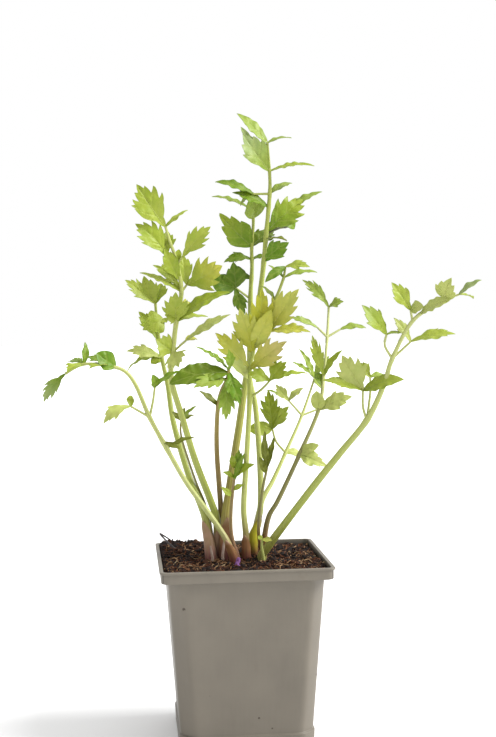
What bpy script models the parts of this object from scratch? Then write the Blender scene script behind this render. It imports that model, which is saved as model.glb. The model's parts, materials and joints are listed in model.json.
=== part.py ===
"""Potted lovage: a young lovage plant in a square nursery pot.

Metres, +Z up. The origin is the middle of the pot's flat underside, and -Y faces the viewer.
Every leaf of the plant stands on its own stalk in its own hole in the soil, so each is one frond here.
"""

import math
import random

import bmesh
import bpy
from mathutils import Euler, Vector, noise

MM = 0.001
NAME = "potted_lovage"

# The pot: a 9 cm square nursery pot with a rim band, cut corners and a plain foot.
RIM_SIDE = 0.090
POT_HEIGHT = 0.096
BODY_TOP_SIDE = 0.0816
BODY_FOOT_SIDE = 0.0697
FOOT_HEIGHT = 0.0088
FOOT_PROUD = 0.0008
BAND_HEIGHT = 0.0062
LEDGE_LOW = 0.0010
LEDGE_RISE = 0.0024
LIP_HEIGHT = 0.0012
LIP_PROUD = 0.0008
WALL = 0.0013
FLOOR = 0.0018
CORNER_CUT = 0.0072
RIM_CORNER = 0.0034
INNER_CORNER = 0.0028
INNER_CUT = 0.0067
CUT_ROUNDNESS = 0.15
EASE = 0.0006
DRAIN_RADIUS = 0.0045
DRAIN_PLACE = 0.021

# The soil: a mound that is higher behind on the left and lower behind on the right.
GAP = 0.0003
SOIL_LEVEL = 0.0937
SOIL_LUMP = 0.0013
SOIL_SEED = 4.7
SOIL_RINGS = 8
SOIL_EDGE = 0.0004
HOLE_DEPTH = 0.0150
ROOT_DEPTH = 0.0140
HOLE_GAP = 0.00035
HEXAGON_SHARE = 1.16

# Leaf blades and the tubes of the stalks.
BLADE_THICKNESS = 0.0007
BLADE_BASE_HALF_WIDTH = 0.00045
SHEATH_SWELL = 1.35
SIDE_STALK_THICKNESS = 1.25
BEND_TOLERANCE = 0.0008

# Places on the plant are read off a board that stands upright through the pot's middle and faces this point.
# (across, up, depth) is millimetres right of the middle, above the floor, and past the board.
VIEWPOINT = Vector((-0.0605, -0.6690, 0.2215))

# How much more the fronds lean to and from the viewer than the depths below say.
LEAN = 1.8

# Half outlines of the leaflets, from base to tip: how far along, and how far out. Teeth point forward.
OUTLINES = {
    "lobed": (
        (0.20, 0.28), (0.42, 0.76), (0.60, 1.00), (0.55, 0.70), (0.80, 0.80), (0.70, 0.46), (0.90, 0.38),
        (0.86, 0.22),
    ),
    "wedge": ((0.24, 0.42), (0.46, 0.90), (0.66, 1.00), (0.62, 0.76), (0.84, 0.56), (0.80, 0.38)),
    "broad": ((0.16, 0.60), (0.36, 1.00), (0.56, 0.88), (0.54, 0.72), (0.78, 0.52), (0.75, 0.36)),
    "lance": ((0.24, 0.66), (0.50, 1.00), (0.76, 0.60)),
    "oval": ((0.20, 0.70), (0.48, 1.00), (0.78, 0.72)),
}
RIB_STEPS = 2
TURN_DEGREES = 26
BOW = {"lobed": 0.07, "wedge": 0.08, "broad": 0.09, "lance": 0.07, "oval": 0.09}
FOLD = 0.22


def leaf(at, tip, width, facing, kind="wedge", bow=None):
    """A leaflet at a station of its stalk. facing 0 shows its edge to the viewer, and 90 its upper face."""
    return {"at": at, "tip": tip, "width": width, "facing": facing, "kind": kind, "bow": bow}


def side(at, points, *growth):
    """A side stalk at a station of its parent. Depths of it and of leaf tips count from where they spring."""
    return {"at": at, "points": points, "growth": growth}


def frond(name, root, points, thick, colour, *growth):
    """A leaf on its own stalk: root is its place in the soil, and points are the stalk above it."""
    return {
        "name": name, "root": root, "points": points, "thick": thick, "colour": colour, "growth": growth,
    }


LEAF_GREEN = (0.26, 0.42, 0.06)
PALE_GREEN = (0.42, 0.52, 0.14)
DARK_GREEN = (0.09, 0.24, 0.04)
OLIVE = (0.28, 0.31, 0.07)
YELLOW = (0.55, 0.50, 0.13)

FRONDS = (
    frond(
        "frond_far_left", (-4.5, -13.0),
        (
            (-7, 103, -14), (-12, 111.5, -14), (-18.5, 121, -15), (-29, 136, -17), (-39, 154, -20),
            (-48, 171, -22), (-55, 188, -24), (-61, 196, -25), (-70, 199, -26), (-83, 200, -27),
            (-93, 195, -28),
        ),
        (3.0, 1.3), LEAF_GREEN,
        leaf(6, (-24, 160, 2), 2.8, 35, "lance"),
        leaf(6.2, (-32, 154, -3), 3.2, 40, "oval"),
        side(
            7, ((-53, 174, -2), (-58, 177, -4)),
            leaf(2, (-73, 168, -4), 8, 40, "wedge", 0.2),
            leaf(2, (-58, 183, 5), 4, 60, "oval"),
        ),
        side(
            7, ((-46, 180, 3), (-45, 187, 5)),
            leaf(2, (-46, 194, -5), 5, 78, "oval"),
            leaf(2, (-31, 196, 3), 5, 18, "lance"),
        ),
        leaf(9.6, (-76, 206, -5), 10, 60, "oval"),
        leaf(10, (-81, 204, 8), 8, 20),
        leaf(10, (-80, 198, -12), 9, 12),
        leaf(11, (-82, 212, 3), 4, 60, "lance"),
        leaf(11, (-91, 202, 9), 7, 25),
        leaf(11, (-92, 196, -10), 9, 30),
        leaf(12, (-105, 180, -3), 8.5, 48, "lobed"),
    ),
    frond(
        "frond_left_back", (-16.5, -4.5),
        (
            (-18, 112, -2), (-21, 123, -1), (-27, 138, 2), (-35, 167, 8), (-38, 188, 12), (-41, 203, 14),
            (-43, 218, 16), (-44, 232, 17),
        ),
        (3.8, 1.4), LEAF_GREEN,
        leaf(7, (-60, 207, -3), 9, 50, "wedge", 0.14),
        leaf(7, (-60, 196, 6), 4, 30, "lance", 0.18),
        leaf(7, (-47, 200, -4), 6, 45, "oval"),
        leaf(7.6, (-53, 228, 5), 9, 50),
        side(
            8, ((-40, 224, -3),),
            leaf(1, (-51, 218, -5), 14, 74, "broad", 0.16),
            leaf(1, (-38, 222, -2), 7, 50),
        ),
        leaf(9, (-60, 245, -4), 12, 50, "lobed"),
        leaf(9, (-50, 247, -2), 12, 62, "wedge"),
        leaf(9, (-41, 243, 8), 11, 45),
    ),
    frond(
        "frond_left_front", (-12.5, 2.5),
        (
            (-12.5, 114, 1.5), (-16, 126, 0), (-24, 148, -3), (-30, 169, -4), (-36, 191, -6), (-35, 206, -7),
            (-33, 222, -8), (-30, 238, -9), (-32, 253, -10), (-36, 266, -11), (-38, 273, -11),
        ),
        (3.8, 1.3), PALE_GREEN,
        leaf(7, (-32, 198, -8), 15, 85, "lobed"),
        leaf(7, (-44, 213, -6), 14, 72),
        side(
            7, ((-28, 212, -2),),
            leaf(1, (-4, 226, -3), 7, 40, "wedge"),
            leaf(1, (-22, 213, 6), 5, 30, "oval"),
        ),
        leaf(8, (-4, 238, -6), 9, 42, "lance"),
        leaf(8, (-16, 225, 7), 6, 12, "lance"),
        leaf(8, (-33, 238, -9), 15, 78, "lobed"),
        leaf(8.4, (-23, 230, 4), 10, 65, "wedge"),
        leaf(8.2, (-39, 226, -4), 10, 70),
        leaf(9.4, (-39, 262, -4), 9, 55),
        side(
            9, ((-27, 242, 2),),
            leaf(1, (-8, 252, -4), 20, 74, "lobed"),
            leaf(1, (-29, 258, 3), 10, 62),
        ),
        leaf(9, (-52, 249, -3), 6, 30, "lance"),
        leaf(9, (-45, 253, 5), 7, 45),
        leaf(10, (-31, 261, 3), 4, 70, "oval"),
        side(10, ((-29, 257, -3),), leaf(1, (-14, 273, -2), 12, 68, "lobed")),
        side(
            10, ((-38, 258, -2),),
            leaf(1, (-54, 275, -4), 15, 52, "lobed"),
            leaf(1, (-37, 271, 4), 10, 62),
        ),
        leaf(12, (-53, 296, -5), 17, 64, "lobed"),
        leaf(12, (-56, 285, 6), 10, 55),
        leaf(12, (-26, 282, 4), 4, 30, "lance"),
    ),
    frond(
        "frond_left_young", (-14.0, 10.0),
        ((-16, 112, 7), (-19, 124, 7.5), (-24, 137, 7), (-31, 160, 5), (-31, 169, 5)),
        (1.5, 1.0), OLIVE,
        leaf(6, (-36, 174, -3), 3, 60, "lance"),
        leaf(6, (-29, 176, 3), 3, 50, "oval"),
        leaf(6, (-23, 177, -4), 3, 40, "lance"),
        leaf(6, (-24, 172, 3), 3, 30, "lance"),
    ),
    frond(
        "frond_dark_low", (-8.5, 7.5),
        (
            (-10, 115, 6), (-11, 133, 4), (-12, 150, 0), (-12, 164, -6), (-11, 177, -12), (-9, 185, -15),
            (-6, 191, -17), (-5, 196, -17),
        ),
        (2.9, 1.6), DARK_GREEN,
        leaf(6, (-21, 185, -3), 4.5, 50, "lance"),
        leaf(8.6, (-37, 189, -6), 13, 52, "oval"),
        leaf(8, (-24, 187, -14), 12, 60, "lobed"),
        leaf(9, (-23, 209, 3), 3, 20, "lance"),
        leaf(8.75, (-15, 206, -6), 3.5, 25, "lance"),
        leaf(9, (-5, 207, -4), 5.5, 55),
        leaf(8, (-7, 169, -7), 10, 88, "lobed", 0.12),
        leaf(8.7, (1, 177, -8), 8, 78, "wedge", 0.14),
    ),
    frond(
        "frond_tallest", (-7.5, -4.5),
        (
            (-8, 114, -3), (-5, 135, -1), (0, 165, 1), (4, 190, 2), (9, 212, 3), (11, 228, 3), (14, 250, 3),
            (16, 270, 3), (18, 290, 3), (18, 302, 3), (17, 317, 3),
        ),
        (4.2, 1.3), LEAF_GREEN,
        leaf(8.2, (28, 264, -5), 11, 68),
        leaf(9, (36, 287, 5), 17, 68, "lobed"),
        side(
            9, ((25, 278, 4),),
            leaf(1, (46, 291, 5), 7, 20, "lance"),
            leaf(1, (31, 271, 2), 8, 55, "oval"),
        ),
        leaf(8.9, (31, 272, 12), 8, 14),
        leaf(8.8, (27, 265, -7), 8, 14, "lance"),
        leaf(9.6, (-2, 291, -5), 9, 50),
        side(
            10, ((9, 290, -3),),
            leaf(1, (-11, 297, -4), 8, 35, "lance"),
            leaf(1, (2, 284, 6), 6, 40, "lance"),
        ),
        leaf(10, (30, 296, 9), 7, 15, "lance"),
        leaf(11, (4, 322, -5), 15, 66, "wedge"),
        leaf(11, (3, 326, 6), 6, 40, "lance"),
        leaf(11, (42, 305, -4), 8, 26, "lance"),
        leaf(12, (1, 333, 2), 9, 38, "lance"),
        leaf(12, (30, 320, 5), 6, 20, "lance"),
    ),
    frond(
        "shoot_middle", (-2.0, -8.5),
        ((-4, 103, -9), (-5, 113, -9), (-4, 128, -9), (-2, 143, -9)),
        (1.9, 1.1), LEAF_GREEN,
        leaf(4, (-10, 133, -2), 3.6, 60, "lance"),
        leaf(4.5, (3, 151, -5), 3, 45, "lance"),
        leaf(4.2, (2, 134, -3), 3.6, 50, "lance"),
        leaf(4.6, (-9, 141, -3), 3.6, 50, "lance"),
        leaf(4.6, (8, 145, -7), 5, 50, "lance"),
        leaf(5, (0, 153, -1), 5, 60, "wedge"),
        leaf(5, (-4, 150, -4), 4, 60, "oval"),
    ),
    frond(
        "frond_yellow", (2.5, -5.0),
        (
            (3, 107, -5), (2, 122, -6), (4, 150, -8), (6, 181, -9), (6, 196, -9), (9, 210, -9),
            (12, 222, -10), (20, 233, -11), (25, 245, -11),
        ),
        (3.0, 1.4), YELLOW,
        side(
            5, ((12, 185, -2), (17, 190, -4)),
            leaf(2, (26, 200, -3), 12, 72, "lobed"),
            leaf(2, (5, 194, -4), 9, 62, "wedge"),
            leaf(2, (37, 194, 3), 5, 22, "lance"),
        ),
        leaf(5.6, (-8, 203, -9), 7, 60, "oval"),
        leaf(6, (-12, 216, -8), 14, 66, "lobed"),
        leaf(6, (26, 211, -10), 14, 68, "lobed"),
        leaf(6.6, (1, 229, -7), 15, 74, "lobed"),
        leaf(6.9, (13, 240, -9), 14, 72, "lobed"),
        leaf(6.8, (18, 228, -13), 9, 70, "oval"),
        side(
            7.15, ((16, 216, -3),),
            leaf(1, (33, 239, -7), 18, 78, "lobed"),
            leaf(1, (39, 216, -8), 9, 38),
        ),
        leaf(9, (13, 241, 4), 3.5, 15, "lance"),
        side(
            10, ((26, 251, 0),),
            leaf(1, (39, 251, -4), 8, 45, "wedge"),
            leaf(1, (15, 243, -5), 5, 68, "lance"),
        ),
        leaf(10, (43, 248, 4), 6, 18, "lance"),
        leaf(10, (17, 252, 3), 4, 20, "lance"),
    ),
    frond(
        "frond_middle_dark", (6.5, 2.0),
        (
            (7, 106, 2), (11, 121, 4), (11, 146, 6), (9, 176, 9), (6, 195, 11), (7, 234, 12), (8, 250, 12),
            (8, 262, 12), (9, 277, 12), (6, 283, 11),
        ),
        (3.4, 1.3), DARK_GREEN,
        side(
            7, ((-1, 240, -3),),
            leaf(1, (-14, 244, -3), 13, 78, "oval"),
            leaf(1, (-2, 254, -3), 13, 78, "broad"),
            leaf(1, (-11, 235, 7), 8, 45),
            leaf(1, (4, 226, -1), 8, 70),
        ),
        leaf(7.6, (-6, 248, 6), 9, 60),
        leaf(8.4, (-7, 254, -3), 8, 38, "wedge", 0.16),
        leaf(8.4, (16, 257, 2), 5, 25, "lance"),
        leaf(9, (-9, 280, -3), 15, 72, "broad"),
        leaf(9, (20, 270, 9), 12, 55),
        leaf(10, (8, 289, -7), 14, 66, "oval"),
        leaf(11, (-13, 289, 4), 6, 26, "lance"),
    ),
    frond(
        "frond_right_inner", (8.0, 8.5),
        ((8, 109, 9), (12, 125, 12), (18, 136, 16), (25, 151, 21), (34, 171, 28), (41, 191, 34)),
        (2.8, 1.1), PALE_GREEN,
        side(
            5, ((20, 157, -4), (18, 164, -6)),
            leaf(2, (16, 185, -3), 12, 78, "lobed"),
            leaf(2, (27, 176, -3), 9, 72),
            leaf(2, (5, 164, -3), 9, 65, "oval"),
        ),
        leaf(5, (33, 151, 5), 6, 45, "oval"),
        side(
            6, ((27, 179, -3),),
            leaf(1, (20, 188, -2), 6, 55),
            leaf(1, (35, 186, 3), 5, 45, "lance"),
            leaf(1, (15, 185, 5), 4.5, 20, "lance"),
        ),
        side(6, ((42, 174, 4),), leaf(1, (51, 178, 6), 8, 40)),
        leaf(7, (33, 207, -2), 3.5, 40, "lance"),
        leaf(7, (29, 200, 6), 3, 25, "lance"),
        leaf(7, (45, 185, -5), 5, 30, "lance"),
        leaf(7, (49, 203, 8), 6, 30, "lance"),
    ),
    frond(
        "frond_right_upright", (12.5, 4.5),
        (
            (15, 115, 4), (21, 126, 4), (32.5, 150, 6), (43, 174, 9), (46, 192, 13), (48, 213, 18),
            (49, 229, 22),
        ),
        (2.5, 1.2), LEAF_GREEN,
        leaf(4, (43, 155, -4), 6.5, 50, "oval"),
        leaf(4, (48, 143, -4), 9, 58, "broad"),
        leaf(5, (42, 184, -5), 8, 72, "oval"),
        leaf(5, (61, 181, -5), 11, 58, "wedge"),
        leaf(6, (40, 214, -3), 7, 60, "lobed"),
        leaf(6, (56, 206, -4), 4.5, 35, "lance"),
        leaf(5.7, (42, 194, 6), 5, 40, "oval"),
        side(7, ((43, 218, -2),), leaf(1, (28, 224, -3), 5, 42)),
        side(7, ((55, 217, 3),), leaf(1, (69, 218, 3), 5, 32, "lance")),
        leaf(8, (35, 244, -2), 7, 48, "lobed"),
        leaf(8, (57, 232, -3), 8, 38),
    ),
    frond(
        "frond_far_right", (10.5, -7.5),
        (
            (15.5, 101, -8), (39.5, 132, -15), (54.2, 150, -20), (69, 168, -25), (78, 186, -28),
            (83, 201, -30), (94, 221, -32), (109, 231, -34), (119, 235, -35),
        ),
        (3.8, 0.9), LEAF_GREEN,
        side(
            5, ((67, 175, -2), (67, 184, -3)),
            leaf(2, (56, 203, -6), 17, 70, "lobed"),
            leaf(2, (45, 190, -9), 8, 42),
            leaf(2, (89, 190, -7), 9, 48, "oval"),
        ),
        side(
            5, ((71, 183, 5), (71, 191, 8)),
            leaf(2, (79, 192, 4), 5, 28, "lance"),
            leaf(2, (64, 199, 6), 8, 50),
        ),
        side(
            7, ((79, 208, -2), (80, 214, -3)),
            leaf(2, (67, 230, -4), 11, 60, "wedge"),
            leaf(2, (88, 215, 2), 3.5, 18, "lance"),
            leaf(2, (73, 222, 8), 6, 40),
        ),
        side(
            7, ((93, 210, 2),),
            leaf(1, (117, 214, -3), 9, 38, "wedge"),
            leaf(1, (84, 223, -2), 6, 45),
        ),
        side(
            8, ((93, 227, 1),),
            leaf(1, (83, 242, -2), 9, 58, "wedge"),
            leaf(1, (100, 229, -4), 7, 60, "oval"),
        ),
        leaf(8.3, (114, 232, -8), 8, 44, "oval"),
        leaf(9.2, (115, 244, -6), 12, 80, "broad"),
        leaf(10, (131, 243, -2), 5, 30, "lance"),
        leaf(10, (127, 233, 8), 5, 30, "lance"),
    ),
    frond(
        "frond_bud_leaf", (11.5, -0.5),
        ((10, 109, -3), (12, 129, -3), (15, 143, -3)),
        (1.6, 1.0), DARK_GREEN,
        leaf(4, (14, 163, -3), 3.6, 60, "lance"),
        leaf(4, (19, 160, 5), 3.2, 45, "lance"),
        leaf(3.7, (11, 149, -2), 3.4, 55, "oval"),
    ),
    frond(
        "shoot_at_crown", (11.0, -13.5),
        ((11.5, 100, -13), (12, 104, -13)),
        (1.3, 1.0), PALE_GREEN,
        leaf(3, (17, 103.5, -3), 3.4, 50, "lance"),
        leaf(3, (9.5, 106, 1), 3, 50, "lance"),
    ),
)

# Dry bits that stand in the soil without leaves: root place, then points in the pot's own millimetres.
DRY_BITS = {
    "dry_twig": (
        1.0, ((-34, 16, 96.5), (-38.5, 22, 100), (-42.6, 27, 104), (-40, 28, 102.4), (-37.4, 29, 100.5)),
        (0.16, 0.10, 0.07),
    ),
    "dry_stalk_left": (1.5, ((-16.0, -11.0, 97), (-17.0, -10.5, 103)), (0.42, 0.34, 0.22)),
    "dry_stalk_right": (1.5, ((-10.5, -10.5, 98), (-9.5, -10.0, 105)), (0.36, 0.28, 0.17)),
    "crown_bud": (3.6, ((-3.5, -22.0, 96), (-2.8, -22.0, 98.5)), (0.30, 0.07, 0.28)),
}
DRY_TIP_SHARE = {"dry_twig": 0.75, "dry_stalk_left": 0.7, "dry_stalk_right": 0.7, "crown_bud": 0.4}


def clear_scene():
    for found in list(bpy.data.objects):
        bpy.data.objects.remove(found, do_unlink=True)


def new_collection(name):
    made = bpy.data.collections.new(name)
    bpy.context.scene.collection.children.link(made)
    return made


def principled(name, colour, roughness, metallic=0.0):
    material = bpy.data.materials.new(name)
    material.use_nodes = True
    shader = material.node_tree.nodes["Principled BSDF"]
    shader.inputs["Base Color"].default_value = (*colour, 1.0)
    shader.inputs["Roughness"].default_value = roughness
    shader.inputs["Metallic"].default_value = metallic
    return material


def object_from(bm, name, collection):
    mesh = bpy.data.meshes.new(name)
    bm.to_mesh(mesh)
    bm.free()
    made = bpy.data.objects.new(name, mesh)
    collection.objects.link(made)
    return made


def sighted(place):
    """The point that the viewer sees at this place of the board, at its depth past the board."""
    across, up, depth = (value * MM for value in place)
    toward = Vector((-VIEWPOINT.x, -VIEWPOINT.y, 0.0))
    distance = toward.length
    toward.normalize()
    on_board = Vector((toward.y * across, -toward.x * across, up))
    return VIEWPOINT + (on_board - VIEWPOINT) * ((distance + depth) / distance)


def curve_point(points, station):
    """The Catmull-Rom curve through the points. Whole stations are the points themselves."""
    first = min(int(station), len(points) - 2)
    share = station - first
    before = points[max(first - 1, 0)]
    start = points[first]
    end = points[first + 1]
    after = points[min(first + 2, len(points) - 1)]
    lead_out = (end - before) / 2
    lead_in = (after - start) / 2
    square = share * share
    cube = square * share
    return (
        start * (2 * cube - 3 * square + 1)
        + lead_out * (cube - 2 * square + share)
        + end * (3 * square - 2 * cube)
        + lead_in * (cube - square)
    )


def stations_of(points):
    """Each point's station, with one more in the middle of a span that bends."""
    stations = [0.0]
    for number in range(1, len(points)):
        straight = (points[number] + points[number - 1]) / 2
        if (curve_point(points, number - 0.5) - straight).length > BEND_TOLERANCE:
            stations.append(number - 0.5)
        stations.append(float(number))
    return stations


def tube(name, points, radii, collection, resolution):
    """A bevelled curve through the points, made a closed mesh."""
    curve = bpy.data.curves.new(name, "CURVE")
    curve.dimensions = "3D"
    curve.bevel_depth = MM
    curve.bevel_resolution = resolution
    curve.use_fill_caps = True
    spline = curve.splines.new("POLY")
    spline.points.add(len(points) - 1)
    for spot, point, radius in zip(spline.points, points, radii):
        spot.co = (*point, 1.0)
        spot.radius = radius / MM
    guide = bpy.data.objects.new(name + "_guide", curve)
    collection.objects.link(guide)
    graph = bpy.context.evaluated_depsgraph_get()
    mesh = bpy.data.meshes.new_from_object(guide.evaluated_get(graph))
    bpy.data.objects.remove(guide, do_unlink=True)
    bm = bmesh.new()
    bm.from_mesh(mesh)
    bmesh.ops.remove_doubles(bm, verts=bm.verts, dist=1e-6)
    bmesh.ops.recalc_face_normals(bm, faces=bm.faces)
    return object_from(bm, name, collection)


def half_outline(kind, draw):
    """One side's outline, each point drawn a little off, so that no two leaflets are alike."""
    return [
        (along + draw.uniform(-0.018, 0.018), out * draw.uniform(0.90, 1.08))
        for along, out in OUTLINES[kind]
    ]


def blade(name, base, tip, spec, collection, draw):
    """A leaflet: two flat halves filled from rib to edge, folded at the rib, bowed and given a thickness."""
    length = (tip - base).length
    along = (tip - base) / length
    toward = VIEWPOINT - base
    toward.z = 0.0
    toward.normalize()
    toward.rotate(Euler((0, 0, math.radians(draw.uniform(-TURN_DEGREES, TURN_DEGREES)))))
    facing = math.radians(spec["facing"])
    normal = Vector((0, 0, math.cos(facing))) + toward * math.sin(facing)
    normal -= along * normal.dot(along)
    normal.normalize()
    across = along.cross(normal)
    half_width = spec["width"] * MM / 2
    bow = BOW[spec["kind"]] if spec["bow"] is None else spec["bow"]
    bm = bmesh.new()
    rib = [bm.verts.new((step / RIB_STEPS, 0.0, 0.0)) for step in range(RIB_STEPS + 1)]
    base_half = BLADE_BASE_HALF_WIDTH / half_width
    for hand in (-1, 1):
        points = [(0.0, base_half)] + half_outline(spec["kind"], draw)
        edge = [bm.verts.new((t, hand * s, 0.0)) for t, s in points]
        loop = rib + edge[::-1]
        bm.faces.new(loop if hand < 0 else loop[::-1])
    bmesh.ops.triangulate(bm, faces=bm.faces)
    for vertex in bm.verts:
        t, s, _ = vertex.co
        rise = 4 * bow * length * t * (1 - t) + FOLD * abs(s) * half_width
        vertex.co = base + along * (t * length) + across * (s * half_width) + normal * rise
    bmesh.ops.recalc_face_normals(bm, faces=bm.faces)
    made = object_from(bm, name, collection)
    shell = made.modifiers.new("Thickness", "SOLIDIFY")
    shell.thickness = BLADE_THICKNESS
    shell.offset = 0.0
    shell.use_even_offset = False
    return made


def grow(name, points, growth, collection, draw):
    """Makes the side stalks and leaflets that spring from a stalk's stations."""
    for number, spec in enumerate(growth):
        start = curve_point(points, spec["at"])
        start_depth = depth_of(start)
        piece = f"{name}.{number}"
        if "tip" in spec:
            across, up, depth = spec["tip"]
            tip = sighted((across, up, depth + start_depth))
            blade(piece, start, tip, spec, collection, draw)
            continue
        path = [start] + [sighted((a, u, d + start_depth)) for a, u, d in spec["points"]]
        stations = stations_of(path)
        radii = [SIDE_STALK_THICKNESS * MM / 2] * len(stations)
        tube(piece, [curve_point(path, s) for s in stations], radii, collection, 0)
        grow(piece, path, spec["growth"], collection, draw)


def depth_of(point):
    """How far past the board a point lies, in millimetres."""
    toward = Vector((-VIEWPOINT.x, -VIEWPOINT.y, 0.0))
    toward.normalize()
    return point.dot(toward) / MM


def join_all(target, pieces):
    """A Boolean union of the collection's objects into the target, applied, with those objects removed."""
    union = target.modifiers.new("Union", "BOOLEAN")
    union.operation = "UNION"
    union.operand_type = "COLLECTION"
    union.collection = pieces
    union.solver = "MANIFOLD"
    apply_modifiers(target)
    for piece in list(pieces.objects):
        bpy.data.objects.remove(piece, do_unlink=True)
    bpy.data.collections.remove(pieces)


def apply_modifiers(target):
    graph = bpy.context.evaluated_depsgraph_get()
    mesh = bpy.data.meshes.new_from_object(target.evaluated_get(graph))
    target.modifiers.clear()
    target.data = mesh


def root_points(place, level):
    """The straight foot of a stalk, from its hole's bottom to the soil's surface."""
    x, y = (value * MM for value in place)
    return [Vector((x, y, level - ROOT_DEPTH)), Vector((x, y, level + 0.001))]


def build_frond(spec, collection):
    """One frond: its stalk, and all that springs from it, as one solid. Returns the foot's radius."""
    foot = root_points(spec["root"], SOIL_LEVEL)
    foot_depth = depth_of(foot[1])
    above = [(a, u, foot_depth + (d - foot_depth) * LEAN) for a, u, d in spec["points"]]
    path = foot + [sighted(place) for place in above]
    stations = stations_of(path)
    thick, thin = (value * MM / 2 for value in spec["thick"])
    last = stations[-1]
    radii = []
    for station in stations:
        share = max(0.0, (station - 3) / (last - 3)) if last > 3 else 0.0
        radius = thick + (thin - thick) * share
        swell = max(0.0, 1 - max(0.0, station - 1) / 1.6)
        radii.append(radius * (1 + (SHEATH_SWELL - 1) * swell))
    stalk = tube(spec["name"], [curve_point(path, s) for s in stations], radii, collection, 1)
    pieces = new_collection(spec["name"] + "_pieces")
    grow(spec["name"] + "_piece", path, spec["growth"], pieces, random.Random(spec["name"]))
    join_all(stalk, pieces)
    stalk.data.materials.clear()
    stalk.data.materials.append(principled(spec["name"], spec["colour"], 0.55))
    stalk.data.shade_smooth()
    stalk.data.set_sharp_from_angle(angle=math.radians(35))
    return radii[0]


def build_dry_bit(name, thick, points, colour, collection):
    """A leafless stalk, twig or bud in the soil. Returns its place and its foot's radius."""
    place = points[0][:2]
    path = root_points(place, SOIL_LEVEL) + [Vector(point) * MM for point in points]
    radius = thick * MM / 2
    tip_share = DRY_TIP_SHARE[name]
    last = len(path) - 1
    radii = [radius * (1 + (tip_share - 1) * max(0, step - 1) / (last - 1)) for step in range(last + 1)]
    made = tube(name, path, radii, collection, 1)
    made.data.materials.append(principled(name, colour, 0.8))
    made.data.shade_smooth()
    return place, radius


def square_ring(half, cut, round_share, corner_steps, side_steps):
    """A square outline with cut or rounded corners, from the middle of the -Y side round by +X."""
    points = []
    for turn in range(4):
        angle = turn * math.pi / 2
        flat = [(-(half - cut) + 2 * (half - cut) * n / side_steps, -half) for n in range(side_steps)]
        corner = []
        for number in range(corner_steps):
            share = number / corner_steps
            straight = Vector((half - cut + cut * share, -half + cut * share))
            bend = share * math.pi / 2
            curved = Vector((half - cut + cut * math.sin(bend), -half + cut - cut * math.cos(bend)))
            corner.append(tuple(straight.lerp(curved, round_share)))
        for x, y in flat + corner:
            points.append((
                x * math.cos(angle) - y * math.sin(angle),
                x * math.sin(angle) + y * math.cos(angle),
            ))
    return points


def loft(name, rings, collection):
    """A closed solid through rings of equal count, with its first and last ring filled."""
    bm = bmesh.new()
    made = [[bm.verts.new(point) for point in ring] for ring in rings]
    count = len(made[0])
    for lower, upper in zip(made, made[1:]):
        for number in range(count):
            after = (number + 1) % count
            bm.faces.new((lower[number], lower[after], upper[after], upper[number]))
    bm.faces.new(made[0])
    bm.faces.new(made[-1])
    bmesh.ops.recalc_face_normals(bm, faces=bm.faces)
    return object_from(bm, name, collection)


def body_half(z):
    """Half the pot body's outer side at a height."""
    rise = (BODY_TOP_SIDE - BODY_FOOT_SIDE) / (POT_HEIGHT - BAND_HEIGHT - FOOT_HEIGHT)
    return (BODY_FOOT_SIDE + rise * (z - FOOT_HEIGHT)) / 2


def build_pot(collection, cutters):
    band_low = POT_HEIGHT - BAND_HEIGHT
    lip_low = POT_HEIGHT - LIP_HEIGHT
    rim_half = RIM_SIDE / 2
    band_half = rim_half - LIP_PROUD
    inner_top = rim_half - LIP_PROUD - WALL
    foot_half = body_half(FOOT_HEIGHT) + FOOT_PROUD
    profile = (
        (foot_half - 2 * EASE, 0.0, CORNER_CUT, CUT_ROUNDNESS),
        (foot_half - EASE, EASE, CORNER_CUT, CUT_ROUNDNESS),
        (foot_half, FOOT_HEIGHT - EASE, CORNER_CUT, CUT_ROUNDNESS),
        (body_half(FOOT_HEIGHT), FOOT_HEIGHT, CORNER_CUT, CUT_ROUNDNESS),
        (body_half(band_low), band_low, CORNER_CUT, CUT_ROUNDNESS),
        (band_half - EASE, band_low, 1.5 * RIM_CORNER, 0.8),
        (band_half, band_low + EASE, RIM_CORNER, 1.0),
        (band_half, lip_low, RIM_CORNER, 1.0),
        (rim_half, lip_low + EASE / 3, RIM_CORNER, 1.0),
        (rim_half, POT_HEIGHT - EASE / 2, RIM_CORNER, 1.0),
        (rim_half - EASE / 2, POT_HEIGHT, RIM_CORNER, 1.0),
        (inner_top + EASE / 3, POT_HEIGHT, INNER_CORNER, 1.0),
        (inner_top, band_low + LEDGE_RISE, INNER_CORNER, 1.0),
        (body_half(band_low) - WALL, band_low + LEDGE_LOW, INNER_CUT, CUT_ROUNDNESS),
        (body_half(FLOOR) - WALL, FLOOR, INNER_CUT, CUT_ROUNDNESS),
    )
    rings = [
        [(x, y, z) for x, y in square_ring(half, cut, round_share, 3, 1)]
        for half, z, cut, round_share in profile
    ]
    pot = loft("pot", rings, collection)
    for x in (-DRAIN_PLACE, DRAIN_PLACE):
        for y in (-DRAIN_PLACE, DRAIN_PLACE):
            bm = bmesh.new()
            bmesh.ops.create_cone(
                bm, cap_ends=True, segments=8, radius1=DRAIN_RADIUS, radius2=DRAIN_RADIUS, depth=4 * FLOOR,
            )
            drain = object_from(bm, "drain_cutter", cutters)
            drain.location = (x, y, FLOOR / 2)
    return cut_away(pot, cutters, "pot", (0.27, 0.235, 0.195), 0.45)


def cut_away(target, cutters, material_name, colour, roughness):
    """Cuts every object of a collection from the target, and gives the target its material."""
    for cutter in cutters.objects:
        cutter.hide_render = True
        cutter.display_type = "WIRE"
    cut = target.modifiers.new("Holes", "BOOLEAN")
    cut.operation = "DIFFERENCE"
    cut.operand_type = "COLLECTION"
    cut.collection = cutters
    cut.solver = "EXACT"
    target.data.materials.append(principled(material_name, colour, roughness))
    return target


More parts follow.
